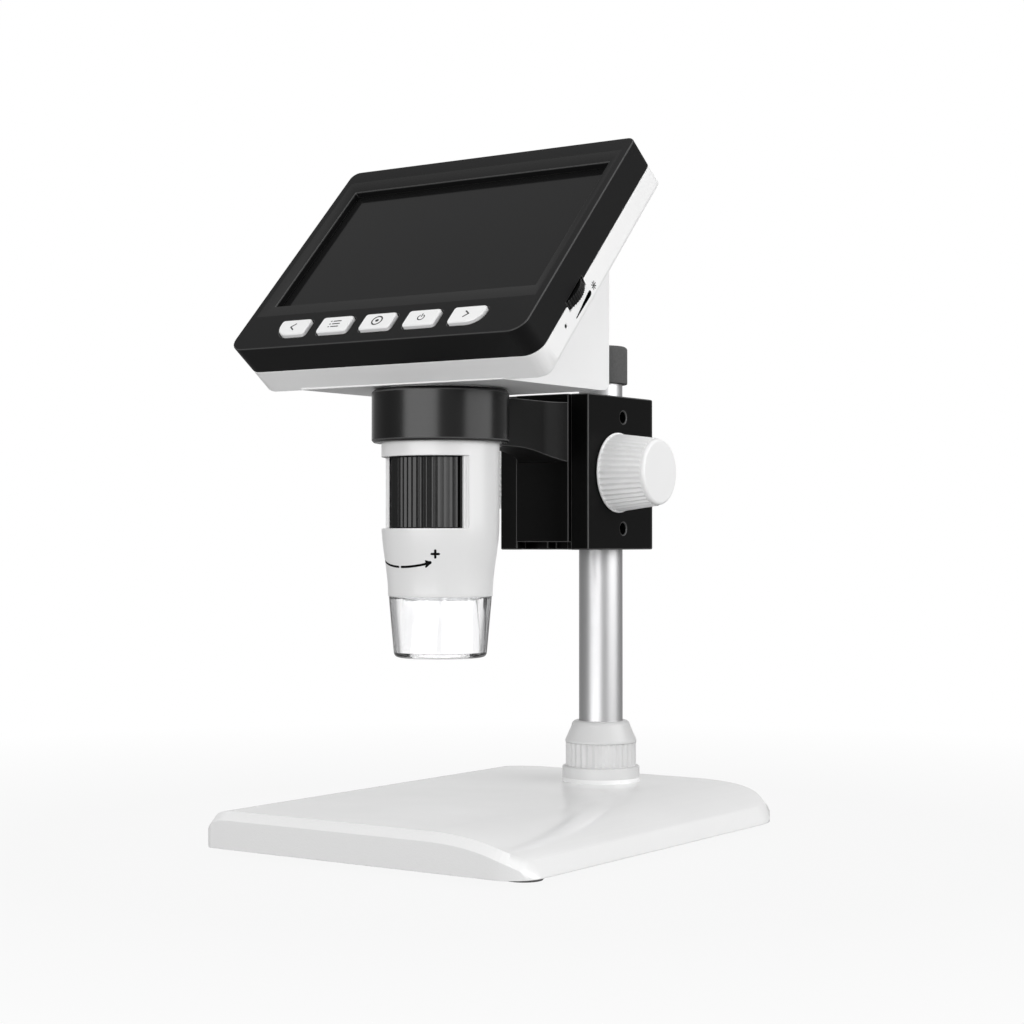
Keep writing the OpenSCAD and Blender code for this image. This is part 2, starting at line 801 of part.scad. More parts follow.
// A wedge of angle to the left and right of the front, from the axis outwards
module front_sector(left, right, r, low, high) {
    far = 2 * r;
    translate([0, tube_y, low])
        linear_extrude(high - low)
            polygon([[0, 0], [-far * sin(left), -far * cos(left)], [0, -2 * far], [far * sin(right), -far * cos(right)]]);
}

module tube_shell() {
    ledge = tube_low + 2 * tube_wall;
    color("white")
        difference() {
            translate([0, tube_y, 0])
                rotate_extrude()
                    polygon(concat(
                        [[end_in_r, tube_low], [end_r, tube_low]],
                        [for (i = [1:corner_steps - 1]) let (a = i / corner_steps)
                            [end_r + (tube_r - end_r) * (1 - cos(180 * a)) / 2,
                             tube_low + (taper_top - tube_low) * a]],
                        [[tube_r, taper_top], [tube_r, tube_top], [flange_r, tube_top],
                         [flange_r, tube_top + flange_t], [tube_in_r, tube_top + flange_t],
                         [tube_in_r, window_low - tube_wall], [end_in_r, ledge + tube_wall]]));
            difference() {
                front_sector(window_half + dish_left, window_half + dish_right, tube_r, window_low, window_top);
                translate([0, tube_y, window_low - overrun])
                    cylinder(r = tube_r - window_dish, h = window_h + 2 * overrun);
            }
            front_sector(window_half, window_half, tube_r, window_low, window_top);
        }
}

// The wheel turns on the guide sleeve. A pin on the lens barrel passes through a straight slot
// in the sleeve into a spiral groove in the wheel, so that turning the wheel moves the lens.
wheel_gap = 0.2;
sleeve_r = 12.6;
sleeve_in_r = 10.8;
wheel_r = tube_in_r - 3 * wheel_gap;
wheel_low = window_low + wheel_gap;
wheel_h = window_h - 2 * wheel_gap;
wheel_mid = wheel_low + wheel_h / 2;
wheel_flute_depth = 0.4;
wheel_turn = 150;
groove_wall = 0.7;
groove_r = wheel_r - wheel_flute_depth - groove_wall;
groove_steps = 15;
groove_gap = 0.3;
drive_pin_d = 2;
drive_pin_r = groove_r - groove_gap;

// The groove falls as it runs round, so that a turn about +Z raises the pin
module drive_groove() {
    rise = lens_travel / groove_steps;
    tall = drive_pin_d + rise + 2 * groove_gap;
    wide = 2 * groove_r * tan(wheel_turn / groove_steps / 2) + 2 * groove_gap;
    for (i = [-groove_steps:groove_steps])
        translate([0, tube_y, wheel_mid - i * rise - tall / 2])
            rotate([0, 0, i * wheel_turn / groove_steps])
                translate([-wide / 2, sleeve_in_r, 0]) cube([wide, groove_r - sleeve_in_r, tall]);
}

module focus_wheel() {
    color([0.1, 0.1, 0.1])
        difference() {
            translate([0, tube_y, wheel_low])
                linear_extrude(wheel_h) polygon(fluted_outline(wheel_r, wheel_flute_depth, wheel_flutes));
            translate([0, tube_y, wheel_low - overrun])
                cylinder(r = sleeve_r + turning_fit, h = wheel_h + 2 * overrun);
            drive_groove();
        }
}

sleeve_low = tube_low + 3 * tube_wall;
sleeve_top = ring_top - tube_wall;
sleeve_foot_h = 1.6;
sleeve_foot_r = end_in_r - wheel_gap / 2;

module guide_sleeve() {
    slot_w = drive_pin_d + 2 * turning_fit;
    slot_h = 2 * lens_travel + drive_pin_d + 2 * slide_gap;
    color("dimgray")
        difference() {
            translate([0, tube_y, 0]) {
                translate([0, 0, sleeve_low]) cylinder(r = sleeve_r, h = sleeve_top - sleeve_low);
                translate([0, 0, sleeve_low]) cylinder(r = sleeve_foot_r, h = sleeve_foot_h);
                translate([0, 0, sleeve_top - sleeve_foot_h]) cylinder(r = tube_in_r, h = sleeve_foot_h);
            }
            translate([0, tube_y, sleeve_low - overrun])
                cylinder(r = sleeve_in_r, h = sleeve_top - sleeve_low + 2 * overrun);
            translate([-slot_w / 2, tube_y, wheel_mid - slot_h / 2]) cube([slot_w, 2 * sleeve_r, slot_h]);
        }
}

barrel_l = 26;
barrel_wall = 1.6;
barrel_low = wheel_mid - barrel_l / 2;
lens_t = 3;

module lens_barrel() {
    outer = sleeve_in_r - running_fit;
    color([0.12, 0.12, 0.12]) {
        translate([0, tube_y + outer - barrel_wall / 2, wheel_mid])
            rotate([-90, 0, 0]) cylinder(d = drive_pin_d, h = drive_pin_r - outer + barrel_wall / 2, $fn = 32);
        translate([0, tube_y, barrel_low])
            rotate_extrude()
                polygon([[outer - 3 * barrel_wall, 0], [outer, 0], [outer, barrel_l],
                         [outer - barrel_wall, barrel_l], [outer - barrel_wall, lens_t + 2 * barrel_wall],
                         [outer - 2 * barrel_wall, lens_t + 2 * barrel_wall],
                         [outer - 2 * barrel_wall, barrel_wall], [outer - 3 * barrel_wall, barrel_wall]]);
    }
}

module objective_lens() {
    r = sleeve_in_r - running_fit - 2 * barrel_wall;
    bulge = lens_t / 6;
    color("lightblue")
        translate([0, tube_y, barrel_low + barrel_wall])
            rotate_extrude()
                polygon(concat([[0, 0], [r, 0], [r, lens_t]],
                    [for (i = [1:corner_steps]) let (a = i / corner_steps)
                        [r * (1 - a), lens_t + bulge * (1 - (1 - a) * (1 - a))]]));
}

board_t = 1.6;

module sensor_board() {
    chip = 7;
    color("seagreen")
        translate([0, tube_y, sleeve_top]) {
            cylinder(r = sleeve_r + sleeve_foot_h / 2, h = board_t);
            translate([-chip / 2, -chip / 2, -board_t]) cube([chip, chip, board_t]);
        }
}

led_count = 8;
led_d = 3;
led_h = 1.6;

module led_ring() {
    outer = end_in_r - slide_gap / 2;
    bore = outer / 2;
    z = tube_low + 2 * tube_wall;
    color("ivory")
        translate([0, tube_y, z]) {
            difference() {
                cylinder(r = outer, h = board_t);
                translate([0, 0, -overrun]) cylinder(r = bore, h = board_t + 2 * overrun);
            }
            for (i = [0:led_count - 1])
                rotate([0, 0, 360 * (i + 0.5) / led_count])
                    translate([(outer + bore) / 2, 0, -led_h]) cylinder(d = led_d, h = led_h, $fn = 24);
        }
}

// A cone of clear plastic with a spigot that plugs into the tube
spigot_h = tube_wall;
shield_step = 0.2;

module clear_shield() {
    low = tube_low - shield_l;
    top_r = end_r - shield_step;
    low_r = shield_end_d / 2;
    spigot_r = end_in_r - slide_gap / 3;
    turn_r = 1.6;
    color([0.9, 0.95, 1, 0.4])
        translate([0, tube_y, 0])
            rotate_extrude()
                polygon(concat(
                    [[low_r - 3 * shield_wall, low], [low_r - turn_r, low]],
                    arc_points(low_r - turn_r, low + turn_r, turn_r, -60, 0, 3),
                    [[top_r, tube_low], [spigot_r, tube_low], [spigot_r, tube_low + spigot_h],
                     [spigot_r - shield_wall, tube_low + spigot_h], [spigot_r - shield_wall, tube_low],
                     [low_r - shield_wall, low + shield_wall], [low_r - 3 * shield_wall, low + shield_wall]]));
}

// Screen head, drawn about the middle of the glass with Z along its normal

head_w = open_w + 2 * side_border;
face_n = bezel_rise;
seam_n = face_n - bezel_depth;
back_n = seam_n - tray_depth;
face_top = open_h / 2 + brow_h;
face_low = -open_h / 2 - chin_h;
rake_top = face_top * cos(wall_rake) + face_n * sin(wall_rake);
rake_low = face_low * cos(wall_rake) + face_n * sin(wall_rake);
tray_low_v = (rake_low - back_n * sin(wall_rake)) / cos(wall_rake);
glass_y = tube_y - front_reach - tray_low_v * sin(screen_tilt) + back_n * cos(screen_tilt);
glass_z = head_z - tray_low_v * cos(screen_tilt) - back_n * sin(screen_tilt);
case_long = 2 * head_w;

function world_y(v, n) = glass_y + v * sin(screen_tilt) - n * cos(screen_tilt);
function world_z(v, n) = glass_z + v * cos(screen_tilt) + n * sin(screen_tilt);

module on_screen() {
    translate([0, glass_y, glass_z]) rotate([90 - screen_tilt, 0, 0]) children();
}

// The case between two levels, its walls raked and its corners rounded
module case_slab(inset, low, high) {
    intersection() {
        rotate([wall_rake, 0, 0])
            translate([0, 0, -case_long / 2])
                linear_extrude(case_long)
                    polygon(rounded_box(head_w - 2 * inset, rake_low + inset, rake_top - inset,
                                        low_corner_r - inset, top_corner_r - inset));
        translate([-case_long / 2, -case_long / 2, low]) cube([case_long, case_long, high - low]);
    }
}

module slab(w, h, low, high) {
    translate([-w / 2, -h / 2, low]) cube([w, h, high - low]);
}

// The sloped frame round the opening, cut as two crossing wedges
bevel_side = 3.4;
bevel_top = 4;
bevel_low = 6.2;

module bevel_cut() {
    drop = face_n - lip_rise;
    more = overrun / drop;
    intersection() {
        translate([-head_w / 2, 0, 0])
            rotate([90, 0, 90])
                linear_extrude(head_w)
                    polygon([[-open_h / 2, lip_rise], [open_h / 2, lip_rise],
                             [open_h / 2 + bevel_top * (1 + more), face_n + overrun],
                             [-open_h / 2 - bevel_low * (1 + more), face_n + overrun]]);
        translate([0, head_w / 2, 0])
            rotate([90, 0, 0])
                linear_extrude(head_w)
                    polygon([[-open_w / 2, lip_rise], [open_w / 2, lip_rise],
                             [open_w / 2 + bevel_side * (1 + more), face_n + overrun],
                             [-open_w / 2 - bevel_side * (1 + more), face_n + overrun]]);
    }
}

key_v = (face_low - open_h / 2 - bevel_low) / 2 + key_gap;
key_r_share = 0.17;
key_turn_share = 0.72;
key_r = key_r_share * key_h;
key_turn_r = key_turn_share * key_h;
glass_lap = 2;
glass_t = 1;
lcd_side_gap = 0.2;
lcd_margin_w = side_border - case_wall - lcd_side_gap;
lcd_margin_h = 5;
lcd_t = 2.9;
lcd_low = -glass_t - lcd_t;

// Key outline: the two outer keys have one large lower corner
function key_outline(w, h, r, left_r, right_r) = concat(
    arc_points(w / 2 - right_r, -h / 2 + right_r, right_r, -90, 0, corner_steps),
    arc_points(w / 2 - r, h / 2 - r, r, 0, 90, corner_steps),
    arc_points(-w / 2 + r, h / 2 - r, r, 90, 180, corner_steps),
    arc_points(-w / 2 + left_r, -h / 2 + left_r, left_r, 180, 270, corner_steps));

function key_left_r(i) = i == -2 ? key_turn_r : key_r;
function key_right_r(i) = i == 2 ? key_turn_r : key_r;

module key_shape(i, grow, low, high) {
    translate([i * key_pitch, key_v, low])
        linear_extrude(high - low)
            polygon(key_outline(key_w + 2 * grow, key_h + 2 * grow, key_r + grow,
                                key_left_r(i) + grow, key_right_r(i) + grow));
}

// Places of the case screws and board screws about the middle of the glass
case_screw_d = 2.5;
boss_d = 6;
boss_inset = 4;
case_screw_u = head_w / 2 - case_wall - boss_inset - boss_d / 2;
case_screw_v = key_v + boss_inset / 4;
board_screw_v = open_h / 2 - boss_inset - boss_d / 4;
board_gap = 2.2;
board_top = lcd_low - board_gap;
board_low = board_top - board_t;

module at_pair(u, v) {
    for (s = [-1, 1])
        translate([s * u, v, 0]) children();
}

// Brightness wheel, its slot and its shaft
dimmer_r = dimmer_d / 2;
dimmer_u = head_w / 2 + dimmer_proud - dimmer_r;
dimmer_v_share = -0.376;
dimmer_v = dimmer_v_share * open_h;
dimmer_top = seam_n + dimmer_t / 3;
dimmer_low = dimmer_top - dimmer_t;

module dimmer_space() {
    translate([dimmer_u, dimmer_v, dimmer_low - slide_gap])
        cylinder(r = dimmer_r + slide_gap, h = dimmer_t + 2 * slide_gap);
}

module front_bezel() {
    color([0.13, 0.13, 0.13])
        on_screen()
            difference() {
                case_slab(0, seam_n, face_n);
                difference() {
                    case_slab(case_wall, seam_n - overrun, 0);
                    at_pair(case_screw_u, case_screw_v)
                        translate([0, 0, board_top]) cylinder(d = boss_d, h = -board_top + overrun, $fn = 32);
                }
                slab(open_w, open_h, -overrun, lip_rise + overrun);
                bevel_cut();
                for (i = [-2:2]) key_shape(i, key_gap, -overrun, face_n + overrun);
                at_pair(case_screw_u, case_screw_v)
                    translate([0, 0, board_top - overrun])
                        cylinder(d = case_screw_d + 2 * screw_gap, h = overrun - board_top - case_wall, $fn = 32);
                dimmer_space();
            }
}

module cover_glass() {
    color([0.05, 0.05, 0.06]) on_screen() slab(open_w + 2 * glass_lap, open_h + 2 * glass_lap, -glass_t, 0);
}

module lcd_panel() {
    color("silver") on_screen() slab(open_w + 2 * lcd_margin_w, open_h + 2 * lcd_margin_h, lcd_low, -glass_t);
}

// Rear housing: a tray behind the bezel and a wedge-shaped body with a level underside

rear_y = tube_y + rear_reach;
wedge_top_v = (rear_y - glass_y + back_n * cos(screen_tilt)) / sin(screen_tilt);

// Bounds of the tray that round its back edges, a little wider than its walls
edge_slack = 0.05;

module tray_bounds() {
    r = tray_edge_r;
    turn_n = back_n + r;
    turn_v = (rake_top + edge_slack - r - turn_n * sin(wall_rake)) / cos(wall_rake);
    turn_u = head_w / 2 + edge_slack - r;
    far_v = -case_long / 2;
    high_n = seam_n + overrun;
    intersection() {
        translate([-case_long / 2, 0, 0])
            rotate([90, 0, 90])
                linear_extrude(case_long)
                    polygon(concat([[far_v, back_n - overrun], [turn_v, back_n - overrun], [turn_v, back_n - edge_slack / 2]],
                        [for (i = [1:corner_steps]) let (a = -90 + (90 + wall_rake) * i / corner_steps)
                            [turn_v + r * cos(a), turn_n + r * sin(a)]],
                        [[turn_v + 2 * r, high_n], [far_v, high_n]]));
        translate([0, case_long / 2, 0])
            rotate([90, 0, 0])
                linear_extrude(case_long)
                    polygon(concat([[-turn_u, back_n - overrun], [turn_u, back_n - overrun], [turn_u, back_n - edge_slack / 2]],
                        [for (i = [1:corner_steps]) let (a = -90 + 90 * i / corner_steps)
                            [turn_u + r * cos(a), turn_n + r * sin(a)]],
                        [[turn_u + 2 * r, high_n], [-turn_u - 2 * r, high_n]],
                        [for (i = [corner_steps:-1:1]) let (a = -90 + 90 * i / corner_steps)
                            [-turn_u - r * cos(a), turn_n + r * sin(a)]],
                        [[-turn_u, back_n - edge_slack / 2]]));
    }
}

module rear_wedge(inset, into) {
    w = rear_w - 2 * inset;
    low = head_z + inset;
    back = rear_y - inset;
    r = rear_edge_r - inset;
    hidden_n = back_n + into;
    low_v = (low - glass_z - hidden_n * sin(screen_tilt)) / cos(screen_tilt);
    top_v = (back - glass_y + hidden_n * cos(screen_tilt)) / sin(screen_tilt);
    translate([-w / 2, 0, 0])
        rotate([90, 0, 90])
            linear_extrude(w)
                polygon(concat(
                    [[world_y(max(low_v, tray_low_v + inset), hidden_n), low]],
                    arc_points(back - r, low + r, r, -90, 0, corner_steps),
                    [[back, world_z(top_v, hidden_n)],
                     [world_y(max(low_v, tray_low_v + inset), hidden_n),
                      world_z(max(low_v, tray_low_v + inset), hidden_n)]]));
}

port_v_shares = [0.12, -0.16];
port_w = 8;
port_h = 3;
card_w = 12;
card_h = 1.4;
reset_d = 1.2;
reset_v_share = -0.563;
reset_n_share = 0.385;
reset_v = reset_v_share * open_h;
reset_n = seam_n - reset_n_share * tray_depth;

module side_ports() {
    left = -head_w / 2 - overrun;
    deep = case_wall + 2 * overrun;
    n = seam_n - tray_depth / 3;
    translate([left, port_v_shares[0] * open_h - port_w / 2, n - port_h / 2]) cube([deep, port_w, port_h]);
    translate([left, port_v_shares[1] * open_h - card_w / 2, n - card_h / 2]) cube([deep, card_w, card_h]);
    translate([head_w / 2 - deep + overrun, reset_v, reset_n]) rotate([0, 90, 0]) cylinder(d = reset_d, h = deep, $fn = 24);
}

// Sockets behind the ports, under the left edge of the board
socket_deep = 6;
socket_skin = 0.5;

module side_sockets() {
    left = -head_w / 2 + case_wall + slide_gap;
    n = seam_n - tray_depth / 3;
    color("silver")
        on_screen() {
            difference() {
                translate([left, port_v_shares[0] * open_h - port_w / 2 - socket_skin, n - port_h / 2 - socket_skin])
                    cube([socket_deep, port_w + 2 * socket_skin, board_low - n + port_h / 2 + socket_skin]);
                translate([left - overrun, port_v_shares[0] * open_h - port_w / 2, n - port_h / 2])
                    cube([socket_deep + overrun - socket_skin, port_w, port_h]);
            }
            difference() {
                translate([left, port_v_shares[1] * open_h - card_w / 2 - socket_skin, n - card_h / 2 - socket_skin])
                    cube([socket_deep, card_w + 2 * socket_skin, board_low - n + card_h / 2 + socket_skin]);
                translate([left - overrun, port_v_shares[1] * open_h - card_w / 2, n - card_h / 2])
                    cube([socket_deep + overrun - socket_skin, card_w, card_h]);
            }
        }
}

tray_floor = back_n + case_wall;
head_screw_h = 1.6;

module rear_housing() {
    color("white")
        difference() {
            union() {
                difference() {
                    union() {
                        on_screen()
                            intersection() {
                                case_slab(0, back_n, seam_n);
                                tray_bounds();
                            }
                        rear_wedge(0, case_wall / 2);
                    }
                    on_screen() case_slab(case_wall, tray_floor, seam_n + overrun);
                    rear_wedge(case_wall, case_wall + overrun);
                }
                on_screen() {
                    at_pair(case_screw_u, case_screw_v)
                        translate([0, 0, back_n]) cylinder(d = boss_d, h = board_low - back_n, $fn = 32);
                    at_pair(case_screw_u, board_screw_v)
                        translate([0, 0, back_n]) cylinder(d = boss_d, h = board_low - back_n, $fn = 32);
                }
            }
            on_screen() {
                at_pair(case_screw_u, case_screw_v) {
                    translate([0, 0, back_n - overrun])
                        cylinder(d = case_screw_d + 2 * screw_gap, h = board_low - back_n + 2 * overrun, $fn = 32);
                    translate([0, 0, back_n - overrun])
                        cylinder(d = 2.2 * case_screw_d, h = overrun + case_wall, $fn = 32);
                }
                at_pair(case_screw_u, board_screw_v)
                    translate([0, 0, tray_floor])
                        cylinder(d = case_screw_d + 2 * screw_gap, h = board_low - tray_floor + overrun, $fn = 32);
                dimmer_space();
                side_ports();
            }
            translate([0, tube_y, head_z - overrun]) cylinder(r = tube_r + running_fit, h = case_wall + 2 * overrun);
        }
}

module housing_screws() {
    color("dimgray")
        on_screen()
            at_pair(case_screw_u, case_screw_v)
                translate([0, 0, tray_floor])
                    screw(case_screw_d, -tray_floor - 2 * case_wall, 2 * case_screw_d, head_screw_h);
}

board_w = 2 * case_screw_u + boss_d;
board_notch = dimmer_r + 2 * slide_gap;

module main_board() {
    low_v = case_screw_v - boss_d / 2;
    high_v = board_screw_v + boss_d / 2;
    color("seagreen")
        on_screen()
            difference() {
                translate([-board_w / 2, low_v, board_low]) cube([board_w, high_v - low_v, board_t]);
                translate([dimmer_u - board_notch, dimmer_v - board_notch, board_low - overrun])
                    cube([2 * board_notch, 2 * board_notch, board_t + 2 * overrun]);
                for (v = [case_screw_v, board_screw_v])
                    at_pair(case_screw_u, v)
                        translate([0, 0, board_low - overrun])
                            cylinder(d = case_screw_d + 2 * screw_gap, h = board_t + 2 * overrun, $fn = 32);
            }
}

module board_screws() {
    color("dimgray")
        on_screen()
            at_pair(case_screw_u, board_screw_v)
                translate([0, 0, board_top])
                    rotate([180, 0, 0])
                        screw(case_screw_d, board_top - tray_floor - 2 * slide_gap, 2 * case_screw_d, head_screw_h);
}

// A key is a cap with a flange under the face and a stem over its switch
flange_t_key = 0.9;
flange_drop = 0.1;
stem_d = 3.4;
switch_w = 6;
plunger_d = 3;
switch_gap = key_travel + flange_drop;
stem_reach = 0.4;
stem_low = -flange_drop - flange_t_key - stem_reach;
plunger_top = stem_low - switch_gap;
switch_body_h = 3;

module key_switches() {
    color([0.2, 0.2, 0.2])
        on_screen()
            for (i = [-2:2])
                translate([i * key_pitch, key_v, board_top]) {
                    translate([-switch_w / 2, -switch_w / 2, 0]) cube([switch_w, switch_w, switch_body_h]);
                    cylinder(d = plunger_d, h = plunger_top - board_top, $fn = 32);
                }
}

module face_key(i) {
    cap_top = face_n + key_proud;
    crown = 0.35;
    color("white")
        on_screen() {
            key_shape(i, 0, -flange_drop - flange_t_key, cap_top - crown);
            hull() {
                key_shape(i, 0, cap_top - 2 * crown, cap_top - crown);
                key_shape(i, -crown, cap_top - crown, cap_top);
            }
            key_shape(i, 2 * key_gap, -flange_drop - flange_t_key, -flange_drop);
            translate([i * key_pitch, key_v, stem_low]) cylinder(d = stem_d, h = -stem_low - flange_drop, $fn = 32);
        }
}

module key_back() { face_key(-2); }
module key_menu() { face_key(-1); }
module key_select() { face_key(0); }
module key_power() { face_key(1); }
module key_next() { face_key(2); }

pot_shaft_d = 4;
pot_d = 9.5;

module dimmer_pot() {
    color("silver")
        on_screen()
            translate([dimmer_u, dimmer_v, tray_floor]) {
                cylinder(d = pot_d, h = dimmer_low - slide_gap - tray_floor);
                cylinder(d = pot_shaft_d, h = dimmer_top - tray_floor);
            }
}

dimmer_ribs = 60;
dimmer_rib_depth = 0.35;

module brightness_wheel() {
    color([0.1, 0.1, 0.1])
        on_screen()
            translate([dimmer_u, dimmer_v, dimmer_low])
                difference() {
                    linear_extrude(dimmer_t) polygon(fluted_outline(dimmer_r, dimmer_rib_depth, dimmer_ribs));
                    translate([0, 0, -overrun])
                        cylinder(d = pot_shaft_d + 2 * running_fit, h = dimmer_t + 2 * overrun);
                }
}

battery_w_share = 0.78;
battery_w = battery_w_share * rear_w;
battery_h = 34;
battery_t = 9;
battery_z = tube_top + 2 * flange_t;

module battery() {
    color("royalblue")
        translate([-battery_w / 2, rear_y - case_wall - battery_t, battery_z])
            cube([battery_w, battery_t, battery_h]);
}

base_cover();
base_plate();
base_screws();
rubber_feet();
post();
post_cap();
collar_nut();
grip_sleeve();
stand_block();
post_set_screws();
side_set_screws();
pinion_shaft();
right_knob();
left_knob();
carriage();
rack();
rack_screws();
clamp_arm();
arm_screws();
front_bezel();
rear_housing();
housing_screws();
cover_glass();
lcd_panel();
main_board();
board_screws();
side_sockets();
key_switches();
battery();
dimmer_pot();
key_back();
key_menu();
key_select();
key_power();
key_next();
brightness_wheel();
tube_shell();
focus_wheel();
guide_sleeve();
lens_barrel();
objective_lens();
sensor_board();
led_ring();
clear_shield();
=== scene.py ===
"""A desk microscope with its own screen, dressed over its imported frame. All lengths are in metres."""

import json
import math

import bmesh
import bpy
from mathutils import Matrix, Vector


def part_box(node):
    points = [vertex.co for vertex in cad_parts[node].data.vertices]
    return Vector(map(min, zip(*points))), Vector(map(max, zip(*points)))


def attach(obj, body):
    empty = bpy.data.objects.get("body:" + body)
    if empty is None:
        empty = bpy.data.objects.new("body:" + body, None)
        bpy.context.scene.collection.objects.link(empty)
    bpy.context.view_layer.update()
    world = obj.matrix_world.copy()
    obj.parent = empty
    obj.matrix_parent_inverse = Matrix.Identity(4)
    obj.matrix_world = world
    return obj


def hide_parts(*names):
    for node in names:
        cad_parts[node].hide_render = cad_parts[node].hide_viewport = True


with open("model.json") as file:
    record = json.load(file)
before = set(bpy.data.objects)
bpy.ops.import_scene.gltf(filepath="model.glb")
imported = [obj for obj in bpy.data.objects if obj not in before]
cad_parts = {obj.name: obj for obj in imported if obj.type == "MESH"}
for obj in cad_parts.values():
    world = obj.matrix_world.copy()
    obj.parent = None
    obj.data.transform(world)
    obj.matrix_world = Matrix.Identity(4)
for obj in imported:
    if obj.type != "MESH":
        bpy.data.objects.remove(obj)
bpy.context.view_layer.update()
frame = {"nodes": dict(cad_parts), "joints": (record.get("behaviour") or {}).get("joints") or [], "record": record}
nodes = frame["nodes"]
MM = 0.001
WHITE = (1, 1, 1)


# Places taken from the frame


def joint(name):
    return next(row for row in frame["joints"] if row["name"] == name)


def middle(node):
    low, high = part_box(node)
    return (low + high) / 2


# The screen's own frame: x to the right, y up the screen and z out of it, from the middle of the glass's face
GLASS_HALF = 0.5 * MM
screen_normal = Vector(joint("dimmer_turn")["axis"]).normalized()
screen_up = screen_normal.cross(Vector((1, 0, 0))).normalized()
glass_face = middle("cover_glass") + screen_normal * GLASS_HALF
screen_frame = Matrix.Translation(glass_face) @ Matrix(
    (
        (1, screen_up.x, screen_normal.x, 0),
        (0, screen_up.y, screen_normal.y, 0),
        (0, screen_up.z, screen_normal.z, 0),
        (0, 0, 0, 1),
    )
)
tube_axis = Vector(joint("focus_turn")["pos_m"])


# Shader maths: sockets that add and multiply like numbers


class Value:
    """One output of a shader node, usable in sums and products."""

    def __init__(self, owner, socket):
        self.owner = owner
        self.socket = socket

    def math(self, operation, *others, clamp=False):
        settings = {"operation": operation, "use_clamp": clamp}
        return self.owner.node("ShaderNodeMath", settings, [self, *others])

    def __add__(self, other):
        return self.math("ADD", other)

    __radd__ = __add__

    def __mul__(self, other):
        return self.math("MULTIPLY", other)

    __rmul__ = __mul__

    def __sub__(self, other):
        return self.math("SUBTRACT", other)

    def __rsub__(self, other):
        return self.owner.node("ShaderNodeMath", {"operation": "SUBTRACT"}, [other, self])

    def above(self, level):
        return self.math("GREATER_THAN", level)

    def ramp(self, start, end, low=0.0, high=1.0):
        """Goes from low to high while this value goes from start to end, and stays level outside them."""
        inputs = {"Value": self, "From Min": start, "From Max": end, "To Min": low, "To Max": high}
        return self.owner.node("ShaderNodeMapRange", {"clamp": True}, inputs)


class Nodes:
    """A tree of shader nodes."""

    def __init__(self, tree):
        self.tree = tree

    def feed(self, socket, value):
        """Links a value to a socket, or sets the socket to a number, a vector or a colour."""
        if isinstance(value, Value):
            self.tree.links.new(value.socket, socket)
        elif socket.type == "RGBA":
            socket.default_value = (*value, 1)
        else:
            socket.default_value = value

    def node(self, kind, settings=None, inputs=(), output=0):
        """Makes a node, sets its settings, then feeds its sockets by name or in their order."""
        made = self.tree.nodes.new(kind)
        for name, value in (settings or {}).items():
            setattr(made, name, value)
        pairs = inputs.items() if isinstance(inputs, dict) else enumerate(inputs)
        for name, value in pairs:
            self.feed(made.inputs[name], value)
        return Value(self, made.outputs[output])

    def length(self, vector):
        return self.node("ShaderNodeVectorMath", {"operation": "LENGTH"}, [vector], output="Value")

    def mix_shaders(self, factor, first, second):
        return self.node("ShaderNodeMixShader", inputs=[factor, first, second])

    def ray(self, kind):
        """One for a ray of this kind, and zero for any other."""
        return self.node("ShaderNodeLightPath", output=f"Is {kind} Ray")

    def seen_directly(self, mirrored):
        """One for a ray from the camera or through glass, and the share mirrored for one from a mirror."""
        direct = self.ray("Camera").math("ADD", self.ray("Transmission"), clamp=True)
        return direct.math("ADD", self.ray("Glossy") * mirrored, clamp=True)


class Finish(Nodes):
    """A material with one Principled shader and the nodes that feed it."""

    def __init__(self, name, **sockets):
        self.material = bpy.data.materials.new(name)
        self.material.use_nodes = True
        super().__init__(self.material.node_tree)
        self.shader = self.tree.nodes["Principled BSDF"]
        self.set(**sockets)

    def set(self, **sockets):
        for name, value in sockets.items():
            self.feed(self.shader.inputs[name.replace("_", " ")], value)

    def place(self, scale=(1, 1, 1), move=(0, 0, 0)):
        """Object coordinates in metres, scaled and then moved."""
        spot = self.node("ShaderNodeTexCoord", output="Object")
        if scale == (1, 1, 1) and move == (0, 0, 0):
            return spot
        inputs = {"Vector": spot, "Location": move, "Scale": scale}
        return self.node("ShaderNodeMapping", {"vector_type": "POINT"}, inputs)

    def facing(self, axis):
        """How far the surface faces along an axis, from -1 to 1."""
        normal = self.node("ShaderNodeNewGeometry", output="Normal")
        return self.node("ShaderNodeSeparateXYZ", inputs=[normal], output=axis)

    def noise(self, size, detail=2.0, rough=0.5, where=None):
        """Soft noise from 0 to 1, with lumps about size metres across."""
        inputs = {"Vector": where or self.place(), "Scale": 1 / size, "Detail": detail, "Roughness": rough}
        return self.node("ShaderNodeTexNoise", inputs=inputs)

    def bump(self, height, depth):
        inputs = {"Strength": 1.0, "Distance": depth, "Height": height}
        return self.node("ShaderNodeBump", inputs=inputs, output="Normal")

    def blend(self, factor, low, high):
        inputs = {0: factor, 6: low, 7: high}
        return self.node("ShaderNodeMix", {"data_type": "RGBA"}, inputs, output=2)

    def tones(self, mask, colour, darker, lighter):
        """A colour times darker where the mask is 0, and times lighter where it is 1."""
        return self.blend(mask, shade(colour, darker), shade(colour, lighter))


def shade(colour, factor):
    return tuple(c * factor for c in colour)


# Finishes. A noise called broad lets tone or gloss wander over a whole piece, and the others are its grain


def moulded(name, colour, rough, grain=0.35 * MM, depth=0.01 * MM, sheen=0.5):
    """Injection-moulded plastic: a spark-eroded grain, and a gloss and tone that wander a little."""
    wander = 0.03
    f = Finish(name, Specular_IOR_Level=sheen)
    fine = f.noise(grain, 3)
    broad = f.noise(28 * MM)
    f.set(
        Base_Color=f.tones(broad, colour, 0.965, 1.03),
        Roughness=rough - wander + fine * wander + broad * wander,
        Normal=f.bump(fine, depth),
    )
    return f


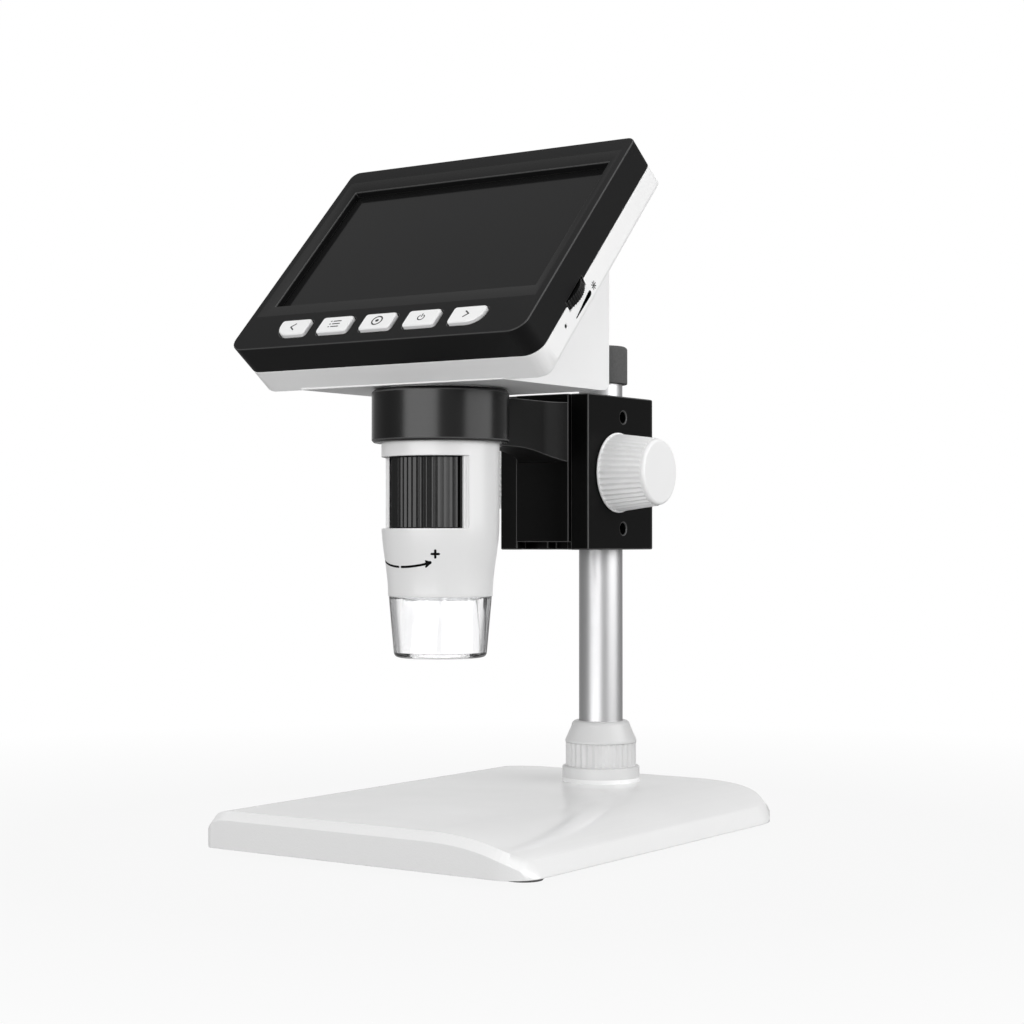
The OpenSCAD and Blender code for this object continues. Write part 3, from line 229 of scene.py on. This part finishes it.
def anodised(name, colour, rough, sheen):
    """Black anodised metal with a very fine bead-blasted grain."""
    wander = 0.12
    f = Finish(name, Specular_IOR_Level=sheen)
    grain = f.noise(0.18 * MM, 4, 0.6)
    broad = f.noise(20 * MM)
    f.set(
        Base_Color=f.tones(broad, colour, 0.8, 1.25),
        Roughness=rough + (grain - 0.5) * wander,
        Normal=f.bump(grain, 0.006 * MM),
    )
    return f


def polished_base(name, colour):
    """Polished plastic, with a fine sand grain on what faces the front, which is also painted darker as painted
    shade.
    """
    polish, wander, sanded = 0.14, 0.05, 0.35
    wall_starts, wall_full = -0.3, -0.9
    f = Finish(name, Specular_IOR_Level=0.5)
    wall = f.facing("Y").ramp(wall_starts, wall_full)
    sand = f.noise(0.55 * MM, 3, 0.6)
    broad = f.noise(30 * MM)
    f.set(
        # What faces the front is painted darker than the top: painted shade, beside its real sand grain and duller
        # finish
        Base_Color=f.blend(wall, f.tones(broad, colour, 0.975, 1.02), shade(colour, 0.86)),
        Roughness=polish + broad * wander + wall * sanded,
        Normal=f.bump(sand * wall, 0.05 * MM),
    )
    return f


def drawn_metal(name, colour, rough, streak=(0.25, 0.25, 26.0), depth=0.002 * MM):
    """Metal drawn or ground along one axis: streaks long in that axis and fine across it, in millimetres."""
    wander = 0.08
    f = Finish(name, Metallic=1.0)
    where = f.place(scale=tuple(1 / (size * MM) for size in streak))
    streaks = f.noise(1.0, 4, 0.65, where)
    f.set(
        Base_Color=f.tones(streaks, colour, 0.95, 1.04),
        Roughness=rough + (streaks - 0.5) * wander,
        Normal=f.bump(streaks, depth),
    )
    return f


def textured_rubber(name, colour, lump, depth):
    rough, wander = 0.62, 0.2
    f = Finish(name, Specular_IOR_Level=0.35)
    lumps = f.noise(lump, 5, 0.7)
    broad = f.noise(6 * MM)
    f.set(
        Base_Color=f.tones(lumps, colour, 0.7, 1.45),
        Roughness=rough + (broad - 0.5) * wander,
        Normal=f.bump(lumps, depth),
    )
    return f


def printed_board(name):
    """Green solder mask over a net of tracks."""
    cells_per_metre, track_half = 450.0, 0.09
    f = Finish(name, Roughness=0.35)
    inputs = {"Vector": f.place(), "Scale": cells_per_metre}
    cells = f.node("ShaderNodeTexVoronoi", {"feature": "DISTANCE_TO_EDGE"}, inputs)
    between = cells.above(track_half)
    f.set(
        Base_Color=f.blend(between, (0.03, 0.26, 0.1), (0.012, 0.13, 0.05)),
        Normal=f.bump(between, 0.03 * MM),
    )
    return f


def panel_glass(name):
    """The dark screen, switched off: a black layer under a smooth cover glass."""
    polish, wander = 0.09, 0.03
    f = Finish(name, Specular_IOR_Level=0.09)
    broad = f.noise(60 * MM, 1)
    f.set(
        Base_Color=f.blend(broad, (0.008, 0.008, 0.0081), (0.0095, 0.0095, 0.0096)),
        Roughness=polish + broad * wander,
    )
    return f


def clear_plastic(name, tint, rim, rough, bore=0.0):
    """Clear plastic, with a painted grey shade where an upright wall outside the bore is seen along its length."""
    wander = 0.03
    rim_starts, rim_full = 0.4, 0.52
    f = Finish(name, Transmission_Weight=1.0, IOR=1.49)
    flow = f.noise(9 * MM)
    along = f.node("ShaderNodeLayerWeight", inputs={"Blend": 0.5}, output="Facing").ramp(rim_starts, rim_full)
    upright = 1.0 - f.facing("Z").math("ABSOLUTE")
    outer = f.length(f.place(scale=(1, 1, 0), move=(-tube_axis.x, -tube_axis.y, 0))).above(bore)
    # The rim colour is a painted shade, strongest where an upright wall is seen edge-on
    f.set(Base_Color=f.blend(along * upright * outer, tint, rim), Roughness=rough + flow * wander)
    return f


def ink(name, colour):
    rough, wander = 0.6, 0.1
    f = Finish(name, Specular_IOR_Level=0.05)
    patch = f.noise(0.4 * MM, 3)
    f.set(
        Base_Color=f.tones(patch, colour, 0.8, 1.2),
        Roughness=rough + patch * wander,
        Normal=f.bump(patch, 0.004 * MM),
    )
    return f


def lamp_board(name):
    """The lamp board: white solder mask, with its lamps lit."""
    f = Finish(name, Roughness=0.5)
    speckle = f.noise(0.5 * MM)
    f.set(
        Base_Color=f.blend(speckle, (0.8, 0.8, 0.8), (0.88, 0.88, 0.88)),
        Emission_Color=f.blend(speckle, (1.0, 1.0, 1.0), (0.94, 0.97, 1.0)),
        Emission_Strength=3.0,
    )
    return f


def film_wrap(name, colour):
    f = Finish(name, Roughness=0.3)
    folds = f.noise(5 * MM, 3)
    f.set(Base_Color=f.tones(folds, colour, 0.85, 1.0), Normal=f.bump(folds, 0.1 * MM))
    return f


# Radius between the shield's inner and outer walls
SHIELD_WALL_R = 13.1 * MM

finishes = {
    "base": polished_base("base_gloss_white", (0.85, 0.85, 0.85)),
    "case": moulded("case_satin_white", (0.89, 0.89, 0.89), 0.38, depth=0.008 * MM),
    "tube": moulded("tube_satin_white", (0.74, 0.74, 0.74), 0.3, depth=0.006 * MM),
    "bezel": moulded("bezel_satin_black", (0.007, 0.007, 0.0072), 0.46, sheen=0.08, depth=0.012 * MM),
    "knob": moulded("knob_white", (0.88, 0.88, 0.88), 0.36, depth=0.008 * MM),
    "nut": moulded("collar_white", (0.61, 0.61, 0.61), 0.3, depth=0.006 * MM),
    "key": moulded("key_white", (0.82, 0.82, 0.82), 0.33, grain=0.2 * MM, depth=0.004 * MM),
    "wheel": moulded("wheel_black", (0.003, 0.003, 0.003), 0.24, sheen=0.29, grain=0.2 * MM),
    "inner": moulded("inner_black", (0.012, 0.012, 0.012), 0.6, sheen=0.3),
    "stand": anodised("stand_black", (0.002, 0.002, 0.002), 0.38, 0.07),
    "ring": anodised("ring_satin_black", (0.0013, 0.0013, 0.0013), 0.24, 0.3),
    # The stand's edges: a lighter black than its faces, a painted highlight along the edges
    "stand_edge": anodised("stand_edge_painted_highlight", (0.045, 0.045, 0.045), 0.45, 0.5),
    # The arm behind the ring: a duller copy of the ring's finish in a lighter black, a painted tone for how the
    # light falls on the arm
    "arm": anodised("arm_satin_black", (0.009, 0.009, 0.009), 0.46, 0.1),
    # The bezel's sloped frame round the screen: glossier than its face, and painted a darker black as painted
    # shade
    "bezel_slope": moulded("bezel_slope_black", (0.0012, 0.0012, 0.0012), 0.22, sheen=0.16, depth=0.004 * MM),
    # The bezel's edges: a lighter black than its face, a painted highlight along the edges
    "bezel_edge": moulded("bezel_edge_painted_highlight", (0.03, 0.03, 0.03), 0.4, sheen=0.4, depth=0.006 * MM),
    "post": drawn_metal("post_satin", (0.5, 0.5, 0.505), 0.4, depth=0.0001 * MM),
    "steel": drawn_metal("ground_steel", (0.55, 0.55, 0.56), 0.3, (12.0, 0.3, 0.3)),
    "plate": drawn_metal("rolled_plate", (0.5, 0.5, 0.51), 0.42, (0.6, 30.0, 0.6)),
    "screw": drawn_metal("black_oxide", (0.05, 0.05, 0.052), 0.4, (0.5, 0.5, 0.5)),
    "cap": textured_rubber("cap_rubber", (0.078, 0.078, 0.078), 0.8 * MM, 0.14 * MM),
    "foot": textured_rubber("foot_rubber", (0.2, 0.2, 0.2), 0.6 * MM, 0.03 * MM),
    "board": printed_board("board_green"),
    "panel": drawn_metal("panel_back", (0.6, 0.6, 0.6), 0.35, (20.0, 0.5, 0.5)),
    "glass": panel_glass("screen_dark"),
    # The second colour of the shield and the lens is their painted edge-on shade
    "shield": clear_plastic("shield_clear", (0.985, 0.985, 0.99), (0.13, 0.13, 0.135), 0.03, SHIELD_WALL_R),
    "lens": clear_plastic("lens_coated", (0.93, 0.97, 1.0), (0.8, 0.86, 0.9), 0.0),
    "lamps": lamp_board("lamp_board"),
    "wrap": film_wrap("battery_film", (0.05, 0.1, 0.32)),
    "ink": ink("printed_black", (0.003, 0.003, 0.003)),
    "grey_ink": ink("printed_grey", (0.045, 0.045, 0.045)),
}

keys = ("key_back", "key_menu", "key_select", "key_power", "key_next")
fluted = ("right_knob", "left_knob", "focus_wheel", "brightness_wheel", "collar_nut")

# The CAD nodes that each finish is for
node_finishes = {
    "base": ["base_cover"],
    "case": ["rear_housing"],
    "tube": ["tube_shell"],
    "bezel": ["front_bezel"],
    "knob": ["right_knob", "left_knob"],
    "nut": ["collar_nut"],
    "key": keys,
    "wheel": ["focus_wheel", "brightness_wheel"],
    "inner": ["grip_sleeve", "key_switches", "guide_sleeve", "lens_barrel"],
    "stand": ["stand_block", "carriage"],
    "ring": ["clamp_arm"],
    "post": ["post"],
    "steel": ["pinion_shaft", "rack", "side_sockets", "dimmer_pot"],
    "plate": ["base_plate"],
    "screw": ["base_screws", "post_set_screws", "side_set_screws", "rack_screws", "arm_screws",
              "housing_screws", "board_screws"],
    "cap": ["post_cap"],
    "foot": ["rubber_feet"],
    "board": ["main_board", "sensor_board"],
    "panel": ["lcd_panel"],
    "glass": ["cover_glass"],
    "shield": ["clear_shield"],
    "lens": ["objective_lens"],
    "lamps": ["led_ring"],
    "wrap": ["battery"],
}
finish_of = {node: name for name, members in node_finishes.items() for node in members}
body_of = {node: body for body, members in frame["record"]["behaviour"]["bodies"].items() for node in members}


def paint(obj, name):
    obj.data.materials.clear()
    obj.data.materials.append(finishes[name].material)


for node, obj in nodes.items():
    paint(obj, finish_of[node])


# Pieces

WELD = 0.001 * MM


def mesh_of(name, bm):
    mesh = bpy.data.meshes.new(name)
    bm.to_mesh(mesh)
    bm.free()
    return mesh


def in_scene(name, data):
    obj = bpy.data.objects.new(name, data)
    bpy.context.scene.collection.objects.link(obj)
    return obj


def riding(piece, body):
    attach(piece, body)


def added(name, bm, finish, body):
    """Makes a small piece from a bmesh that is already in place."""
    bmesh.ops.remove_doubles(bm, verts=bm.verts[:], dist=WELD)
    bmesh.ops.recalc_face_normals(bm, faces=bm.faces[:])
    piece = in_scene(name, mesh_of(name, bm))
    paint(piece, finish)
    riding(piece, body)


# Moulded and machined edges: copies of the CAD solids, merged, with their sharp edges broken

# How wide the broken edges of each piece are, in millimetres
edge_breaks = {
    "base_cover": 0.12, "rear_housing": 0.35, "front_bezel": 0.3, "tube_shell": 0.25,
    "stand_block": 0.42, "carriage": 0.25, "clamp_arm": 0.25,
    "post": 0.3, "post_cap": 0.35, "collar_nut": 0.12,
    "right_knob": 0.1, "left_knob": 0.1, "focus_wheel": 0.12, "brightness_wheel": 0.15,
    **dict.fromkeys(keys, 0.06),
    "clear_shield": 0.15,
}

# Facets within FLAT are joined, and an edge over SHARP is broken. One over its piece's crease stays crisp
FLAT = math.radians(0.3)
SHARP = math.radians(38)
CREASE = math.radians(50)
crease_of = {**dict.fromkeys(fluted, math.radians(18)), "base_cover": math.radians(75)}

# A black piece's edges are painted a lighter black than its faces: a painted highlight for the light that edges
# catch
edge_finish = {"stand_block": "stand_edge", "carriage": "stand_edge", "clamp_arm": "stand_edge",
               "front_bezel": "bezel_edge"}
# Copies of a piece's finish in another colour: painted shade on the bezel's slopes, a painted lighter tone on the
# arm behind the ring
area_finish = {"front_bezel": "bezel_slope", "clamp_arm": "arm"}
FACE, EDGE, AREA = 0, 1, 2
SLOPE_OUT = (0.45, 0.985)
RING_REACH = 16 * MM
CORNER_OUT = 0.55
CORNER_LEVEL = 0.1
into_screen = screen_frame.inverted()


def on_slope(face):
    """Whether a face is on the sloped frame round the screen."""
    return SLOPE_OUT[0] < (into_screen.to_3x3() @ face.normal).z < SLOPE_OUT[1]


def on_arm(face):
    """Whether a face is on the arm, behind the ring."""
    return face.calc_center_median().y > tube_axis.y + RING_REACH


def on_corner(face):
    """Whether a face is on a rounded upright corner."""
    x, y, z = (abs(c) for c in face.normal)
    return min(x, y) > CORNER_OUT and z < CORNER_LEVEL


# Which faces of a piece have another finish than the rest, and which of its materials they get: the block's
# rounded upright corners get the painted edge highlight, the bezel's slopes a painted darker shade, and the arm
# behind the ring a painted lighter tone
areas = {"front_bezel": (on_slope, AREA), "clamp_arm": (on_arm, AREA), "stand_block": (on_corner, EDGE)}


def broken_edges(node, width):
    """A copy of a solid with its facets joined and its edges broken, which stands for the solid."""
    bm = bmesh.new()
    bm.from_mesh(nodes[node].data)
    bmesh.ops.remove_doubles(bm, verts=bm.verts[:], dist=WELD)
    bmesh.ops.dissolve_limit(bm, angle_limit=FLAT, verts=bm.verts[:], edges=bm.edges[:])
    # Where four faces share an edge, a bevel would tear the mesh open
    crossed = {v for e in bm.edges if len(e.link_faces) != 2 for v in e.verts}
    sharp = [e for e in bm.edges if not crossed.intersection(e.verts) and e.calc_face_angle(0) > SHARP]
    bmesh.ops.bevel(
        bm, geom=sharp, offset=width * MM, offset_type="OFFSET", segments=2, profile=0.5,
        affect="EDGES", clamp_overlap=False, material=EDGE if node in edge_finish else -1,
    )
    inside, material = areas.get(node, (None, FACE))
    for face in bm.faces:
        face.smooth = True
        if inside and face.material_index == FACE and inside(face):
            face.material_index = material
    for edge in bm.edges:
        edge.smooth = len(edge.link_faces) == 2 and edge.calc_face_angle(0) < crease_of.get(node, CREASE)
    piece = in_scene(node + "_form", mesh_of(node + "_form", bm))
    for name in (finish_of[node], edge_finish.get(node), area_finish.get(node)):
        if name:
            piece.data.materials.append(finishes[name].material)
    piece.modifiers.new("even_shading", "WEIGHTED_NORMAL").keep_sharp = True
    riding(piece, body_of[node])
    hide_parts(node)


for node, width in edge_breaks.items():
    broken_edges(node, width)


# Marks: thin raised ink, drawn flat with z out of the face, then laid on a piece

MARK_THICK = 0.05 * MM
MARK_SINK = 0.02 * MM
NO_LENGTH = 1e-7


def disc(bm, matrix, radius, thick, segments):
    bmesh.ops.create_cone(
        bm, cap_ends=True, segments=segments, radius1=radius, radius2=radius, depth=thick, matrix=matrix,
    )


def stroke(bm, start, end, width, low=-MARK_SINK):
    """A flat bar with round ends, from start to end, with its underside at low."""
    start, end = Vector((*start, 0)), Vector((*end, 0))
    run = end - start
    turn = Matrix.Rotation(math.atan2(run.y, run.x), 4, "Z")
    lift = Vector((0, 0, low + MARK_THICK / 2))
    size = Matrix.Diagonal((max(run.length, NO_LENGTH), width, MARK_THICK, 1))
    bmesh.ops.create_cube(bm, size=1, matrix=Matrix.Translation((start + end) / 2 + lift) @ turn @ size)
    for point in (start, end):
        disc(bm, Matrix.Translation(point + lift), width / 2, MARK_THICK, 12)


def strokes(bm, points, width, low=-MARK_SINK):
    for start, end in zip(points, points[1:]):
        stroke(bm, start, end, width, low)


def dash(bm, centre, half_long, width, low=-MARK_SINK):
    """A level stroke about its middle, which is a dot where half_long is small."""
    x, y = centre
    stroke(bm, (x - half_long, y), (x + half_long, y), width, low)


def arc(centre, radius, start, end, steps):
    """Points along an arc, in degrees."""
    angles = [math.radians(start + (end - start) * i / steps) for i in range(steps + 1)]
    return [(centre[0] + radius * math.cos(a), centre[1] + radius * math.sin(a)) for a in angles]


# Marks on the keys, drawn about each key's middle

KEY_LINE = 0.45 * MM
MENU_ROWS = (-1.22 * MM, 0, 1.22 * MM)
MENU_DOT = (-1.7 * MM, -1.57 * MM, 0.46 * MM)
MENU_DASH = (-0.7 * MM, 2.0 * MM, 0.4 * MM)
SELECT_R = 1.75 * MM
SELECT_DOT = 1.1 * MM
POWER_R = 1.1 * MM
POWER_DROP = 0.1 * MM
POWER_GAP = (125, 415)
POWER_BAR = (0.25 * MM, 1.4 * MM)
POWER_LINE = 0.34 * MM


def back_mark(bm, low):
    strokes(bm, [(0.75 * MM, 1.3 * MM), (-0.75 * MM, 0), (0.75 * MM, -1.3 * MM)], KEY_LINE, low)


def next_mark(bm, low):
    strokes(bm, [(-0.7 * MM, 1.2 * MM), (0.7 * MM, 0), (-0.7 * MM, -1.2 * MM)], KEY_LINE, low)


def menu_mark(bm, low):
    """Three rows of a dot and a dash."""
    for y in MENU_ROWS:
        for left, right, width in (MENU_DOT, MENU_DASH):
            stroke(bm, (left, y), (right, y), width, low)


def select_mark(bm, low):
    """A ring round a dot."""
    strokes(bm, arc((0, 0), SELECT_R, 0, 360, 28), KEY_LINE, low)
    dash(bm, (0, 0), 0.05 * MM, SELECT_DOT, low)


def power_mark(bm, low):
    """An open ring with an upright bar in its gap."""
    strokes(bm, arc((0, -POWER_DROP), POWER_R, *POWER_GAP, 24), POWER_LINE, low)
    stroke(bm, (0, POWER_BAR[0]), (0, POWER_BAR[1]), POWER_LINE, low)


CROWN = 0.01 * MM


def on_face(node):
    """Middle of a key on the screen's plane, and how far its top stands out."""
    points = [into_screen @ v.co for v in nodes[node].data.vertices]
    top = max(p.z for p in points)
    crown = [p for p in points if p.z > top - CROWN]
    u = (min(p.x for p in crown) + max(p.x for p in crown)) / 2
    v = (min(p.y for p in crown) + max(p.y for p in crown)) / 2
    return u, v, top


for node, draw in zip(keys, (back_mark, menu_mark, select_mark, power_mark, next_mark)):
    u, v, top = on_face(node)
    bm = bmesh.new()
    draw(bm, top - MARK_SINK)
    bmesh.ops.transform(bm, matrix=screen_frame @ Matrix.Translation((u, v, 0)), verts=bm.verts[:])
    added(node + "_mark", bm, "grey_ink", node + "_body")


# Curved arrow and plus on the tube, wrapped round it: turns are in degrees from the front

TUBE_R = 18.15 * MM
TUBE_END_R = 16.05 * MM
TAPER_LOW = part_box("tube_shell")[0].z
TAPER_HIGH = TAPER_LOW + 22.98 * MM
WRAP_R = 16.9 * MM

ARROW_LOW = 87.95 * MM
ARROW_RISE = 1.25 * MM
ARROW_MIDDLE = -7.0
ARROW_HALF = 33.0
TAIL = (-44, -12.2)
TAIL_LINE = 0.66 * MM
SHAFT = (-7.6, 21)
SHAFT_LINE = 0.72 * MM
HEAD_BACK = 21.6
HEAD_TIP = 27.4
HEAD_HALF = 0.85 * MM
HEAD_LINE = 0.55 * MM
HEAD_FILL = 1.0 * MM
PLUS_TURN = 31.4
PLUS_HIGH = 91.87 * MM
PLUS_ARM = 1.05 * MM
PLUS_LINE = 0.72 * MM


def tube_radius(z):
    share = min(max((z - TAPER_LOW) / (TAPER_HIGH - TAPER_LOW), 0), 1)
    return TUBE_END_R + (TUBE_R - TUBE_END_R) * (1 - math.cos(math.pi * share)) / 2


def wrap_on_tube(bm):
    """x is the way round from the front, y the height and z the height above the tube's skin."""
    for vert in bm.verts:
        angle = vert.co.x / WRAP_R
        radius = tube_radius(vert.co.y) + vert.co.z
        vert.co = (
            tube_axis.x + radius * math.sin(angle),
            tube_axis.y - radius * math.cos(angle),
            vert.co.y,
        )


def round_tube(turn):
    return math.radians(turn) * WRAP_R


def arrow_spot(turn):
    """A point of the arrow's line, which is lowest in its middle."""
    return round_tube(turn), ARROW_LOW + ARROW_RISE * ((turn - ARROW_MIDDLE) / ARROW_HALF) ** 2


def arrow_line(bm, start, end, steps, width):
    strokes(bm, [arrow_spot(start + (end - start) * i / steps) for i in range(steps + 1)], width)


def tube_marks():
    bm = bmesh.new()
    arrow_line(bm, *TAIL, 14, TAIL_LINE)
    arrow_line(bm, *SHAFT, 12, SHAFT_LINE)
    back, tip = arrow_spot(HEAD_BACK), arrow_spot(HEAD_TIP)
    for side in (-HEAD_HALF, HEAD_HALF):
        stroke(bm, (back[0], back[1] + side), (tip[0] - 0.2 * MM, tip[1]), HEAD_LINE)
    stroke(bm, back, (tip[0] - 0.4 * MM, tip[1]), HEAD_FILL)
    x = round_tube(PLUS_TURN)
    dash(bm, (x, PLUS_HIGH), PLUS_ARM, PLUS_LINE)
    stroke(bm, (x, PLUS_HIGH - PLUS_ARM), (x, PLUS_HIGH + PLUS_ARM), PLUS_LINE)
    wrap_on_tube(bm)
    added("focus_marks", bm, "ink", "head")


tube_marks()


# Sun and wedge beside the brightness wheel, and the plunger in the reset hole below them. In the plane of the
# case's right wall, x runs up the screen and y out of it

SIDE_U = 54.9 * MM
side_frame = screen_frame @ Matrix(
    ((0, 0, 1, SIDE_U), (1, 0, 0, 0), (0, 1, 0, 0), (0, 0, 0, 1))
)
SUN = (-12.4 * MM, -12.3 * MM)
SUN_RAY = (0.6 * MM, 1.2 * MM)
SUN_RAYS = 8
SUN_LINE = 0.32 * MM
SUN_CORE = 0.75 * MM
WEDGE_THICK_END = (-15.6 * MM, -12.5 * MM)
WEDGE_THIN_END = (-26.3 * MM, -12.9 * MM)
WEDGE_LINE = 1.6 * MM
WEDGE_LOSS = 1.35 * MM
WEDGE_STEPS = 9
RESET_HOLE = (-32.2 * MM, -10.94 * MM)
RESET_DEEP = 0.45 * MM
RESET_R = 0.56 * MM
RESET_LONG = 0.5 * MM


def side_marks():
    bm = bmesh.new()
    spokes = [arc(SUN, radius, 0, 360, SUN_RAYS)[:SUN_RAYS] for radius in SUN_RAY]
    for start, end in zip(*spokes):
        stroke(bm, start, end, SUN_LINE)
    dash(bm, SUN, 0.02 * MM, SUN_CORE)
    ends = list(zip(WEDGE_THICK_END, WEDGE_THIN_END))
    for i in range(WEDGE_STEPS):
        start, end = ([p + (q - p) * share / WEDGE_STEPS for p, q in ends] for share in (i, i + 1))
        stroke(bm, start, end, WEDGE_LINE - WEDGE_LOSS * i / WEDGE_STEPS)
    bmesh.ops.transform(bm, matrix=side_frame, verts=bm.verts[:])
    added("brightness_marks", bm, "ink", "head")


def reset_plunger():
    bm = bmesh.new()
    place = side_frame @ Matrix.Translation((*RESET_HOLE, -RESET_DEEP))
    disc(bm, place, RESET_R, RESET_LONG, 24)
    added("reset_plunger", bm, "inner", "head")


side_marks()
reset_plunger()


# Floor, backdrop, light and camera

TARGET = Vector((0, 0, 0.11))
WORLD_LEVEL = 0.5
FLOOR_R = 1.6
FLOOR_FADE = (0.16, 0.42)
FLOOR_TONE = 0.18
FLOOR_LIFT = 0.92
FLOOR_MIRRORED = 0.3

# The world as a mirror shows it: white towards the upper front, less so at the backdrop, and dimmed elsewhere
BRIGHT_SIDE = (0.3, -0.5, 0.81)
BRIGHT_REACH = (0.0, 0.75)
MIRROR_DIM = 0.67
BACKDROP = (-0.57, 0.81, 0.12)
BACKDROP_REACH = (0.8, 0.96)
BACKDROP_DIM = 0.35


def white_world():
    """Plain light for the object, white for the camera, and a dimmed room for what a mirror shows."""
    world = bpy.data.worlds.new("studio")
    world.use_nodes = True
    bpy.context.scene.world = world
    studio = Nodes(world.node_tree)
    room = studio.tree.nodes["Background"]
    studio.feed(room.inputs["Color"], WHITE)
    studio.feed(room.inputs["Strength"], WORLD_LEVEL)
    way = studio.node("ShaderNodeTexCoord", output="Generated")
    ahead, behind = (
        studio.node("ShaderNodeVectorMath", {"operation": "DOT_PRODUCT"}, [way, side], output="Value")
        for side in (BRIGHT_SIDE, BACKDROP)
    )
    mirrored = studio.ray("Glossy").math("SUBTRACT", studio.ray("Transmission"), clamp=True)
    away = ahead.ramp(*BRIGHT_REACH, MIRROR_DIM, 0.0)
    dimmed = mirrored * away * behind.ramp(*BACKDROP_REACH, 1.0, BACKDROP_DIM)
    white = studio.node("ShaderNodeBackground", inputs={"Color": WHITE, "Strength": 1.0 - dimmed})
    lit = Value(studio, room.outputs["Background"])
    mix = studio.mix_shaders(studio.seen_directly(1.0), lit, white)
    studio.feed(studio.tree.nodes["World Output"].inputs["Surface"], mix)


def pale_floor():
    """A floor that keeps the shadow under the part and fades to the plain background round it."""
    bm = bmesh.new()
    bmesh.ops.create_circle(bm, cap_ends=True, segments=96, radius=FLOOR_R)
    floor = in_scene("floor", mesh_of("floor", bm))
    f = Finish("studio_floor", Base_Color=shade(WHITE, FLOOR_TONE), Roughness=0.7, Specular_IOR_Level=0.1)
    fade = f.length(f.place()).ramp(*FLOOR_FADE, FLOOR_LIFT, 1.0)
    plain = f.node("ShaderNodeEmission", inputs={"Color": WHITE})
    lit = Value(f, f.shader.outputs["BSDF"])
    mix = f.mix_shaders(f.seen_directly(FLOOR_MIRRORED) * fade, lit, plain)
    f.feed(f.tree.nodes["Material Output"].inputs["Surface"], mix)
    floor.data.materials.append(f.material)


def lamp(name, place, size, power):
    data = bpy.data.lights.new(name, "AREA")
    data.shape = "RECTANGLE"
    data.size, data.size_y = size
    data.energy = power
    obj = in_scene(name, data)
    obj.location = place
    obj.rotation_euler = (TARGET - Vector(place)).to_track_quat("-Z", "Y").to_euler()


white_world()
pale_floor()
lamp("front_light", (0.05, -0.95, 0.18), (1.0, 0.36), 5.5)
lamp("side_light", (0.92, 0.19, 0.34), (0.95, 0.6), 6.0)
lamp("top_light", (-0.1, -0.1, 1.15), (0.6, 0.6), 1.8)

camera = in_scene("camera", bpy.data.cameras.new("camera"))
camera.location = (0.3751, -0.54504, 0.09629)
camera.rotation_euler = (math.radians(90.762), 0, math.radians(34.557))
camera.data.sensor_width = 36
camera.data.lens = 71.98
camera.data.clip_start = 0.01
bpy.context.scene.camera = camera
bpy.context.scene.view_settings.view_transform = "Standard"
